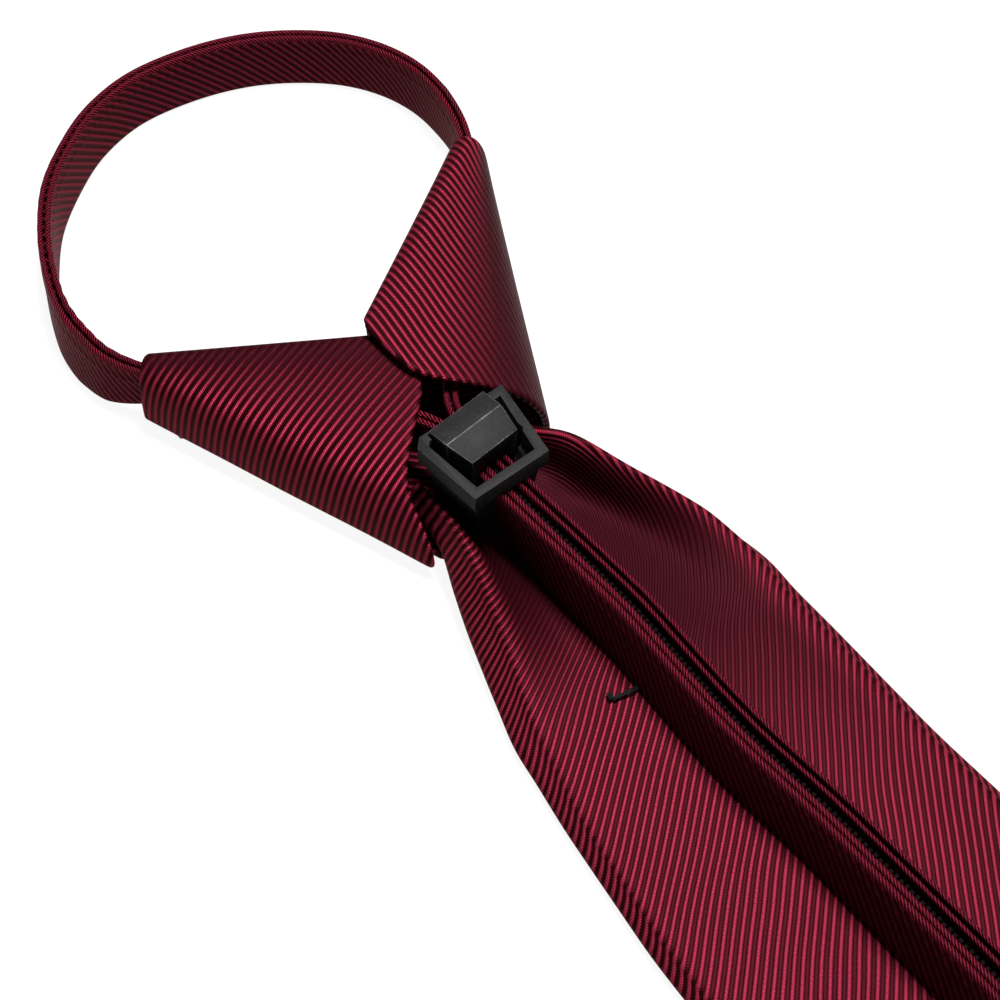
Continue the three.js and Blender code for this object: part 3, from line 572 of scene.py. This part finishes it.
def band_ring(height, groove_share):
    """The band's whole outline, across and up, at a height, with its groove narrowed by a share."""
    side = []
    for across, body, drop in band_outline:
        up = body * (height - lip_zone) if drop is None else height - drop
        if drop is not None and across < groove_half:
            across *= groove_share
        side.append((across * band_half, up))
    left = [(-across, up) for across, up in side[-2:0:-1]]
    return np.array(side + left + side[:1])


def band_surface(route, steps, heights, leans, groove_share, pucker, pressed_face):
    """Rings of a band that stands on edge along a route, with heights and leans at each share of it."""
    dense = curve_through(route, np.linspace(0, len(route) - 1, band_samples * len(route)))
    way = along_curve(dense)
    ways = np.linspace(0, way[-1], steps + 1)
    spots = np.column_stack([np.interp(ways, way, dense[:, axis]) for axis in range(3)])
    marks = np.interp(ways, way, np.linspace(0, len(route) - 1, len(dense)))
    course = np.gradient(spots[:, :2], axis=0)
    course /= np.linalg.norm(course, axis=1)[:, None]
    points, flat, pressed = [], [], []
    for index, spot in enumerate(spots):
        right = np.array((course[index, 1], -course[index, 0]))
        height = np.interp(marks[index], range(len(route)), heights)
        lean = leans(marks[index], right)
        tilt = math.asin(max(-steepest_lean, min(steepest_lean, lean / height)))
        outline = band_ring(height, groove_share)
        round_way = along_curve(outline)
        ring, coords, press_and_shade = [], [], []
        for (across, up), around in zip(outline, round_way):
            # The lips keep their ribs. The faces get flatter ribs and painted shade.
            press_and_shade.append(lip_press if up > height - lip_depth else pressed_face)
            pinch = pucker(marks[index], ways[index], across) * eased(height - pinch_zone, height, up)
            across_now = across + pinch_aside * pinch * (1 if across > 0 else -1)
            up_now = up - pinch_down * abs(pinch)
            aside = across_now * math.cos(tilt) + (height - up_now) * math.sin(tilt)
            rise = up_now * math.cos(tilt) + (across_now + band_half) * abs(math.sin(tilt))
            ring.append((spot[0] + right[0] * aside, spot[1] + right[1] * aside, max(spot[2], 0) + rise))
            coords.append(ribbed(around, ways[index], rib_turn))
        points.append(ring)
        flat.append(coords)
        pressed.append(press_and_shade)
    return np.array(points), np.array(flat), np.array(pressed), way[-1]


def closed_band(points, flat, pressed):
    """A band's rings as one closed body, with its seam merged, its ends filled and its lips told apart."""
    body = cloth_grid(points, flat, pressed)
    press_and_shade = body.verts.layers.float["pressed"]
    for face in body.faces:
        face.material_index = int(all(vert[press_and_shade] < lip_press * 1.2 for vert in face.verts))
    bmesh.ops.remove_doubles(body, verts=body.verts, dist=seam_merge)
    ends = [edge for edge in body.edges if edge.is_boundary]
    bmesh.ops.holes_fill(body, edges=ends, sides=0)
    bmesh.ops.recalc_face_normals(body, faces=body.faces)
    return body


def neck_route():
    """The band's way from the housing round the loop and back, with its height and lean at each point."""
    route, heights, leans = [], [], []

    def add(x, y, z, height, lean):
        route.append((x, y, z))
        heights.append(height)
        leans.append(lean)

    add(-pair_spread, band_end, band_floor, band_pressed, 0)
    for out, up, press in left_merge:
        add(-pair_spread - out * band_merge, housing_at + up * band_merge, band_floor,
            mix(band_tucked, band_pressed, press), 0)
    for side, reach, lift, lean in loop_route:
        height = mix(band_height, band_tucked, eased(0, lift_settles, lift))
        add(loop_shift + side * loop_half, reach * loop_reach, lift * band_floor, height, lean * band_lean)
    for out, up, press in right_merge:
        add(pair_spread + out * band_merge, housing_at + up * band_merge, band_floor,
            mix(band_tucked, band_pressed, press), 0)
    add(pair_spread, band_end, band_floor, band_pressed, 0)
    return route, heights, leans


route, heights, leans = neck_route()
# The loop's faces: flatter ribs and a little painted shade.
neck_pressed = 0.28
neck_groove = 0.62
neck_rings = 420

# Gathers of a seam: their spacing, how far it wanders, and over what length.
neck_gathers = (4.2, 1.2, 7)
neck_pucker_height = 0.34
pucker_starts = (6, 8)
pucker_ends = (11, 15)
far_pucker = 0.25
outer_pucker = 0.35


def gathers(way, spacing, wander, wander_length, start=0):
    return math.sin(2 * math.pi * way / spacing + start + wander * math.sin(way / wander_length))


def neck_lean(mark, right):
    return float(np.interp(mark, range(len(leans)), leans) * (right @ lean_way))


def neck_pucker(mark, way, across):
    """The seam's small gathers, which show on the near side of the loop, most on its inner lip."""
    near = eased(*pucker_starts, mark) * (1 - eased(*pucker_ends, mark))
    inner = 1 if across > 0 else outer_pucker
    return neck_pucker_height * mix(far_pucker, 1, near) * inner * gathers(way, *neck_gathers)


*cloth, neck_length = band_surface(
    route, neck_rings, heights, neck_lean, neck_groove, neck_pucker, neck_pressed)
neckband = finished("neckband_strip", closed_band(*cloth), [twill, lip_twill])
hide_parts("neckband")

# Tail
# The same two bands below the slider housing, closed side by side by the zipper, lying down the middle of the
# blade. Pulling them tightens the loop. The groove of the left band is pressed nearly shut, and both bands'
# faces are pressed flatter than those of the loop and darker with painted shade.
tail_length = 240
tail_spread = 2.4
tail_lean = 2.6
tail_start = band_end - seat_gap
tail_floor = 2 * fold_far + cloth_wall + seat_gap
tail_columns = ("at", "sway", "drop", "lean")
tail_rows = (
    (0.000, 0.00, 0.0, 0.0), (0.075, 0.00, 0.0, 0.0), (0.130, 0.60, 0.7, 0.8), (0.210, 1.00, 1.0, 1.0),
    (0.310, 0.45, 1.0, 1.0), (0.360, 0.40, 1.0, 1.0), (0.440, 0.85, 1.0, 1.0), (0.600, 1.00, 1.0, 1.0),
    (0.800, 0.50, 1.0, 1.0), (1.000, 0.00, 1.0, 1.0),
)
tail_samples = 48
tail_blend = 0.02
tail_rings = 190
# The tail's faces: flatter ribs and more painted shade.
tail_pressed = 0.6
tail_gathers = (5.3, 0.8, 11)
tail_pucker_height = 0.13
left_groove = 0.3
right_groove = 0.85


def tail_route(offset):
    shares = np.linspace(0, 1, tail_samples + 1)
    rows = table_at(tail_columns, tail_rows, shares, tail_blend)
    return np.column_stack([
        offset + rows["sway"] * tail_spread,
        tail_start - shares * tail_length,
        mix(band_floor, tail_floor, rows["drop"]),
    ])


def tail_band(name, side, groove_share):
    def lean(mark, right):
        row = table_at(tail_columns, tail_rows, [mark / tail_samples], tail_blend)
        return -side * tail_lean * float(row["lean"][0])

    def pucker(mark, way, across):
        return tail_pucker_height * gathers(way, *tail_gathers, side)

    line = tail_route(side * pair_spread)
    tall = [band_pressed] * len(line)
    *cloth, length = band_surface(line, tail_rings, tall, lean, groove_share, pucker, tail_pressed)
    band = finished(name + "_strip", closed_band(*cloth), [twill, lip_twill])
    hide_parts(name)


tail_band("tail_left", -1, left_groove)
tail_band("tail_right", 1, right_groove)

# Zipper chain
# The closed plastic teeth between the two tail bands, a little below their lips, dyed to match. Each tooth
# is a small rounded block, and the ones of the two sides alternate.
tooth_pitch = 1.3
tooth_size = (0.86, 0.9, 2.6)
tooth_stagger = 0.08
tooth_rounding = 0.12
chain_drop = 1.6
chain_height = 3
chain_red = (0.0035, 0.0004, 0.0008, 1)
chain_shadow = (0.001, 0.0002, 0.0003, 1)


def make_chain_plastic():
    plastic = bpy.data.materials.new("dyed_zip_plastic")
    plastic.use_nodes = True
    tree = plastic.node_tree
    surface = tree.nodes["Principled BSDF"]
    place = linked(tree, "ShaderNodeTexCoord", {})
    mottle = linked(tree, "ShaderNodeTexNoise", {"Vector": place.outputs["Object"], "Scale": 900,
                                                 "Detail": 2})
    tone = linked(tree, "ShaderNodeMix", {"Factor": mottle.outputs[0], "A": chain_shadow, "B": chain_red},
                  data_type="RGBA")
    tree.links.new(tone.outputs["Result"], surface.inputs["Base Color"])
    surface.inputs["Roughness"].default_value = 0.8
    surface.inputs["Specular IOR Level"].default_value = 0.05
    return plastic


def chain_teeth():
    line = tail_route(0)
    way = along_curve(line)
    teeth = bmesh.new()
    count = int(tail_length / tooth_pitch)
    for index in range(count):
        spot = [np.interp((index + 0.5) * tooth_pitch, way, line[:, axis]) for axis in range(3)]
        made = bmesh.ops.create_cube(teeth, size=1)["verts"]
        bmesh.ops.scale(teeth, vec=Vector(tooth_size) / 1000, verts=made)
        aside = tooth_stagger if index % 2 else -tooth_stagger
        middle = band_pressed - chain_drop - chain_height / 2
        bmesh.ops.translate(teeth, vec=placed(spot[0] + aside, spot[1], spot[2] + middle), verts=made)
    bmesh.ops.bevel(teeth, geom=teeth.edges[:], offset=tooth_rounding / 1000, segments=1, profile=0.5,
                    material=-1, affect="EDGES")
    return teeth


chain = finished("zipper_teeth", chain_teeth(), [make_chain_plastic()], levels=0)
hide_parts("zipper_chain")

# Wings
# Two sleeves of the folded twill that wrap round the knot, one from the back of the core to each end of
# the neck loop. Each is a flat cone, wide and arched at its mouth on the core and narrow at its tip, and
# the right one laps over the left where they meet.
tip_width = 8
tip_roundness = 2.4
wing_floor = front_thickness + seat_gap + cloth_wall / 2
right_crest = knot_depth - cloth_wall / 2
left_crest = right_crest - cloth_wall - 4 * seat_gap
# How far the mouth's edge sways sideways from a straight line, at each share of the way across the arch.
left_mouth = (
    (0.00, 0.0), (0.10, -1.4), (0.22, -3.0), (0.31, -2.8), (0.39, -1.3), (0.49, 1.5), (0.59, 4.6),
    (0.66, 6.2), (0.78, 4.8), (0.90, 2.0), (1.00, 0.0),
)
right_mouth = (
    (0.00, 0.0), (0.20, 1.6), (0.30, 0.9), (0.40, -0.2), (0.54, -3.4), (0.64, -4.9), (0.74, -3.9),
    (0.88, -1.9), (1.00, 0.0),
)
mouth_blend = 0.05
# Corner, crest and foot are the mouth's three places on the plan, arch and roll how square it is on each side
# of its crest, trim how far its corner is cut back, hand the way it unrolls, ribs their turn on the plan, and
# the last list how flat the ribs lie and how much painted shade darkens them at each step round the ring: on
# the left wing's roll over its top and down its neck side, and on the right wing's flank and, less, its neck
# side.
wings = {
    "left": dict(
        tip=(loop_shift - 0.928 * loop_half, 0.283 * loop_reach), outward=(-0.82, -0.57),
        corner=(-knot_bottom["left"], -knot_length), crest=(1.4, -1.6), foot=(-2.8, 5.4),
        crest_height=left_crest, mouth=left_mouth, arch=2, roll=2, trim=0, hand=1,
        ribs=math.radians(11),
        pressed=((20, 0), (31, 0.85), (48, 0.85), (50, 0)),
    ),
    "right": dict(
        tip=(loop_shift + 0.876 * loop_half, 0.358 * loop_reach), outward=(0.8, -0.6),
        corner=(knot_bottom["right"], -knot_length), crest=(-1.2, 1.4), foot=(3, 6.2),
        crest_height=right_crest, mouth=right_mouth, arch=2.1, roll=2.2, trim=0.15, hand=-1,
        ribs=math.radians(86),
        pressed=((0, 0.85), (18, 0.85), (25, 0), (30, 0), (34, 0.3), (48, 0.3), (50, 0)),
    ),
}
arch_steps = 34
neck_steps = 14
front_steps = 8
sleeve_steps = 46
ribs_read_at = 12
wing_puff = 0.55
wing_ripple = (15, 15, 9)
wing_ripple_height = 0.25


def arch_share(step, steps, roundness):
    """Share across and share up of a quarter arch, squarer for a larger roundness."""
    angle = step / steps * math.pi / 2
    power = 2 / roundness
    return 1 - max(math.cos(angle), 0) ** power, math.sin(angle) ** power


def wing_rings(wing):
    """The sleeve's tip and mouth, from the outer fold over the back, down the neck side and in front."""
    tip, outward, corner, crest, foot = (
        np.array(wing[name]) for name in ("tip", "outward", "corner", "crest", "foot")
    )
    outer = tip + outward * tip_width / 2
    inner = tip - outward * tip_width / 2
    tip_crest = tip_height - cloth_wall / 2
    tips, mouths = [], []
    for step in range(arch_steps):
        across, up = arch_share(step, arch_steps, tip_roundness)
        tips.append((*mix(outer, tip, across), mix(wing_floor, tip_crest, up)))
        across, up = arch_share(step, arch_steps, wing["arch"])
        x, y = mix(corner, crest, across)
        x += float(table_at(("at", "sway"), wing["mouth"], [across], mouth_blend)["sway"][0])
        edge = np.array((x, y, mix(wing_floor, wing["crest_height"], up)))
        mouths.append(tuple(mix(edge, np.array(tips[-1]), wing["trim"] * (1 - across) ** 3)))
    for step in range(neck_steps, 0, -1):
        across, up = arch_share(step, neck_steps, tip_roundness)
        tips.append((*mix(inner, tip, across), mix(wing_floor, tip_crest, up)))
        across, up = arch_share(step, neck_steps, wing["roll"])
        mouths.append((*mix(foot, crest, across), mix(wing_floor, wing["crest_height"], up)))
    last_tip = np.array((*inner, wing_floor))
    last_mouth = np.array((*foot, wing_floor))
    for step in range(front_steps + 1):
        tips.append(tuple(mix(last_tip, np.array(tips[0]), step / front_steps)))
        mouths.append(tuple(mix(last_mouth, np.array(mouths[0]), step / front_steps)))
    return np.array(tips), np.array(mouths)


def third_corner(first, second, from_first, from_second, hand):
    """The third corner of a triangle on the flat cloth, from two corners and its two other sides."""
    side = second - first
    length = np.linalg.norm(side)
    along = (from_first ** 2 - from_second ** 2 + length ** 2) / (2 * length)
    off = math.sqrt(max(from_first ** 2 - along ** 2, 0))
    way = side / length
    return first + way * along + np.array((-way[1], way[0])) * off * hand


def unrolled(tips, mouths, hand, read_at):
    """Flat places of the sleeve's two edges, strip by strip, laid over the plan at one ruling."""
    def span(a, b):
        return np.linalg.norm(a - b)

    flat_tips = [np.zeros(2)]
    flat_mouths = [np.array((span(tips[0], mouths[0]), 0))]
    for index in range(1, len(tips)):
        tip = third_corner(flat_tips[-1], flat_mouths[-1], span(tips[index], tips[index - 1]),
                           span(tips[index], mouths[index - 1]), hand)
        flat_tips.append(tip)
        flat_mouths.append(third_corner(tip, flat_mouths[-1], span(mouths[index], tips[index]),
                                        span(mouths[index], mouths[index - 1]), hand))
    flat_tips, flat_mouths = np.array(flat_tips), np.array(flat_mouths)
    now = flat_mouths[read_at] - flat_tips[read_at]
    plan = (mouths[read_at] - tips[read_at])[:2]
    turn = math.atan2(plan[1], plan[0]) - math.atan2(now[1], now[0])
    spin = np.array(((math.cos(turn), -math.sin(turn)), (math.sin(turn), math.cos(turn))))
    start = flat_tips[read_at].copy()
    return [(flat - start) @ spin.T + tips[read_at][:2] for flat in (flat_tips, flat_mouths)]


def wing_surface(wing):
    """Rows of the sleeve from tip to mouth, puffed a little between them, with their flat places."""
    tips, mouths = wing_rings(wing)
    flat_tips, flat_mouths = unrolled(tips, mouths, wing["hand"], ribs_read_at)
    points, flat = [], []
    for share in np.linspace(0, 1, sleeve_steps + 1):
        ring = mix(tips, mouths, share)
        puff = wing_puff * math.sin(math.pi * share)
        for index in range(arch_steps):
            x, y, z = ring[index]
            ring[index, 2] += puff * (z - wing_floor) / knot_depth
            ring[index, 2] += wing_ripple_height * ripple_at(x, y, wing_ripple)
        points.append(ring)
        spots = mix(flat_tips, flat_mouths, share)
        flat.append(np.column_stack(ribbed(spots[:, 0], spots[:, 1], wing["ribs"])))
    return np.array(points), np.array(flat)


for side, wing in wings.items():
    points, flat = wing_surface(wing)
    # Each step's painted shade, the same all along the sleeve.
    wing_shade = np.interp(range(points.shape[1]), *zip(*wing["pressed"]))
    sleeve = cloth_grid(points, flat, np.tile(wing_shade, (len(points), 1)))
    bmesh.ops.remove_doubles(sleeve, verts=sleeve.verts, dist=seam_merge)
    bmesh.ops.recalc_face_normals(sleeve, faces=sleeve.faces)
    piece = finished(side + "_wing_sleeve", sleeve, [twill], cloth_wall)
    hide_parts(side + "_wing")

# Knot core and slider housing
# A tapered box of moulded black plastic with a rim, which the knot is wrapped on, and in it the gabled
# block that holds the zipper's slider, with an arched way through for the bands. Both are matt and finely
# speckled, with edges worn a little lighter.
core_black = (0.0035, 0.0035, 0.0038, 1)
core_grey = (0.012, 0.012, 0.013, 1)
worn_grey = (0.12, 0.12, 0.128, 1)
smear_share = 0.45
speck_share = 0.7
core_rounding = 0.28
block_rounding = 0.14
sharp_from = {"knot_core": math.radians(24), "slider_housing": math.radians(8)}
flat_within = math.radians(2)


def make_core_plastic(name, dark, light, roughness):
    plastic = bpy.data.materials.new(name)
    plastic.use_nodes = True
    tree = plastic.node_tree
    surface = tree.nodes["Principled BSDF"]
    place = linked(tree, "ShaderNodeTexCoord", {})
    speck = linked(tree, "ShaderNodeTexNoise", {"Vector": place.outputs["Object"], "Scale": 2600, "Detail": 3,
                                                "Roughness": 0.65})
    smear = linked(tree, "ShaderNodeTexNoise", {"Vector": place.outputs["Object"], "Scale": 260, "Detail": 4})
    spots = linked(tree, "ShaderNodeMapRange", {"Value": speck.outputs[0], "From Min": 0.42,
                                                "From Max": 0.74})
    marks = linked(tree, "ShaderNodeMapRange", {"Value": smear.outputs[0], "From Min": 0.5,
                                                "From Max": 0.75})
    specks = maths(tree, "MULTIPLY", spots.outputs[0], speck_share)
    mottle = maths(tree, "MULTIPLY_ADD", marks.outputs[0], smear_share, specks)
    tone = linked(tree, "ShaderNodeMix", {"Factor": mottle, "A": dark, "B": light}, data_type="RGBA")
    tree.links.new(tone.outputs["Result"], surface.inputs["Base Color"])
    relief = linked(tree, "ShaderNodeBump", {"Height": speck.outputs[0], "Strength": 0.5,
                                             "Distance": 0.00012})
    tree.links.new(relief.outputs[0], surface.inputs["Normal"])
    gloss = linked(tree, "ShaderNodeMapRange", {"Value": smear.outputs[0], "To Min": roughness - 0.08,
                                                "To Max": roughness + 0.1})
    tree.links.new(gloss.outputs[0], surface.inputs["Roughness"])
    surface.inputs["Specular IOR Level"].default_value = 0.12
    return plastic


core_plastic = make_core_plastic("matt_black_plastic", core_black, core_grey, 0.62)
worn_plastic = make_core_plastic("worn_black_plastic", core_grey, worn_grey, 0.42)


def moulded(name, node, rounding):
    """A moulded copy of a hard node, with its edges rounded and their rounds worn."""
    solid = bmesh.new()
    solid.from_mesh(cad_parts[node].data)
    bmesh.ops.remove_doubles(solid, verts=solid.verts, dist=2e-5)
    bmesh.ops.dissolve_degenerate(solid, edges=solid.edges, dist=1e-5)
    bmesh.ops.dissolve_limit(solid, angle_limit=flat_within, verts=solid.verts, edges=solid.edges)
    sharp = [edge for edge in solid.edges if edge.is_manifold and edge.calc_face_angle(0) > sharp_from[node]]
    made = bmesh.ops.bevel(solid, geom=sharp, offset=rounding / 1000, segments=2, profile=0.5, material=-1,
                           affect="EDGES", clamp_overlap=True)
    for face in made["faces"]:
        face.material_index = 1
    piece = finished(name, solid, [core_plastic, worn_plastic], levels=0)
    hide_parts(node)


moulded("core_box", "knot_core", core_rounding)
moulded("slider_block", "slider_housing", block_rounding)

# Bar tack
# A short V of dark thread sewn by hand through the blade's back, which keeps its flaps together below the
# tail. It is a bundle of wraps side by side, thicker on its short arm.
thread_dark = (0.0012, 0.0018, 0.0016, 1)
thread_light = (0.005, 0.007, 0.0065, 1)
thread_radius = 0.17
thread_sides = 8
wrap_spacing = 1.7 * thread_radius
wrap_wander = 0.1
wrap_waves = 9
wrap_steps = 12
wrap_lift = 0.28
wrap_dive = 0.5
tack_meet = (-9.9, -88.8)
tack_arms = (((-9.3, -87.0), 4), ((-2.2, -90.4), 3))
tack_height = 5.75


def make_thread():
    thread = bpy.data.materials.new("dark_thread")
    thread.use_nodes = True
    tree = thread.node_tree
    surface = tree.nodes["Principled BSDF"]
    place = linked(tree, "ShaderNodeTexCoord", {})
    fibres = linked(tree, "ShaderNodeTexNoise", {"Vector": place.outputs["Object"], "Scale": 3200,
                                                 "Detail": 2})
    tone = linked(tree, "ShaderNodeMix", {"Factor": fibres.outputs[0], "A": thread_dark, "B": thread_light},
                  data_type="RGBA")
    tree.links.new(tone.outputs["Result"], surface.inputs["Base Color"])
    surface.inputs["Roughness"].default_value = 0.9
    surface.inputs["Specular IOR Level"].default_value = 0.1
    return thread


def tack_threads():
    """Each wrap is a bent round thread that dives into the cloth at its two ends."""
    threads = bmesh.new()
    for (end_x, end_y), wraps in tack_arms:
        start = Vector((*tack_meet, 0))
        stop = Vector((end_x, end_y, 0))
        way = (stop - start).normalized()
        aside = Vector((-way.y, way.x, 0))
        for wrap in range(wraps):
            off = (wrap - (wraps - 1) / 2) * wrap_spacing
            rings = []
            for step in range(wrap_steps + 1):
                share = step / wrap_steps
                wander = wrap_wander * math.sin(wrap_waves * share + wrap)
                spot = start.lerp(stop, share) + aside * (off + wander)
                bent = wrap_lift * math.sin(math.pi * share) ** 0.5
                lift = tack_height + bent - wrap_dive * (share in (0, 1))
                ring = bmesh.ops.create_circle(threads, segments=thread_sides,
                                               radius=thread_radius / 1000)["verts"]
                turn = way.to_track_quat("Z", "Y").to_matrix()
                bmesh.ops.rotate(threads, matrix=turn, verts=ring)
                bmesh.ops.translate(threads, vec=placed(spot.x, spot.y, lift), verts=ring)
                rings.append({edge for vert in ring for edge in vert.link_edges})
            for near, far in zip(rings, rings[1:]):
                bmesh.ops.bridge_loops(threads, edges=list(near | far))
            ends = [edge for edge in threads.edges if edge.is_boundary]
            bmesh.ops.holes_fill(threads, edges=ends, sides=0)
    bmesh.ops.recalc_face_normals(threads, faces=threads.faces)
    return threads


tack = finished("bar_tack", tack_threads(), [make_thread()], levels=1)

# Studio
# A plain pale floor with a faint glow of its own, so that it stays even. A strong soft lamp hangs almost
# straight above the tie, a little to its right, a weak wide one stands low on the camera's side, and the
# surround is pale and dim.
floor_size = 6
floor_drop = 0.0002
paper_tone = (0.08, 0.08, 0.08, 1)
paper_glow = 0.92
surround_strength = 0.16
floor_shape = bmesh.new()
bmesh.ops.create_grid(floor_shape, x_segments=1, y_segments=1, size=floor_size)
bmesh.ops.translate(floor_shape, vec=Vector((0, 0, -floor_drop)), verts=floor_shape.verts)
floor_mesh = bpy.data.meshes.new("floor")
floor_shape.to_mesh(floor_mesh)
floor_shape.free()
floor = bpy.data.objects.new("floor", floor_mesh)
bpy.context.scene.collection.objects.link(floor)
paper = bpy.data.materials.new("pale_paper")
paper.use_nodes = True
sweep = paper.node_tree.nodes["Principled BSDF"]
sweep.inputs["Base Color"].default_value = paper_tone
sweep.inputs["Roughness"].default_value = 0.9
sweep.inputs["Specular IOR Level"].default_value = 0
sweep.inputs["Emission Color"].default_value = (1, 1, 1, 1)
sweep.inputs["Emission Strength"].default_value = paper_glow
floor_mesh.materials.append(paper)

# Each lamp's name, place from the camera's target, size in metres and watts.
lights = (
    ("key", (0.20, 0.05, 0.90), 0.26, 27.0),
    ("fill", (-0.25, -0.70, 0.45), 0.60, 0.4),
)
for name, offset, size, power in lights:
    lamp = bpy.data.lights.new(name, "AREA")
    lamp.size = size
    lamp.energy = power
    light = bpy.data.objects.new(name, lamp)
    light.location = view_target + Vector(offset)
    light.rotation_mode = "QUATERNION"
    light.rotation_quaternion = Vector(offset).to_track_quat("Z", "Y")
    bpy.context.scene.collection.objects.link(light)

surround = bpy.data.worlds.new("surround")
surround.use_nodes = True
surround.node_tree.nodes["Background"].inputs["Color"].default_value = (1, 1, 1, 1)
surround.node_tree.nodes["Background"].inputs["Strength"].default_value = surround_strength
bpy.context.scene.world = surround
bpy.context.scene.view_settings.view_transform = "Standard"
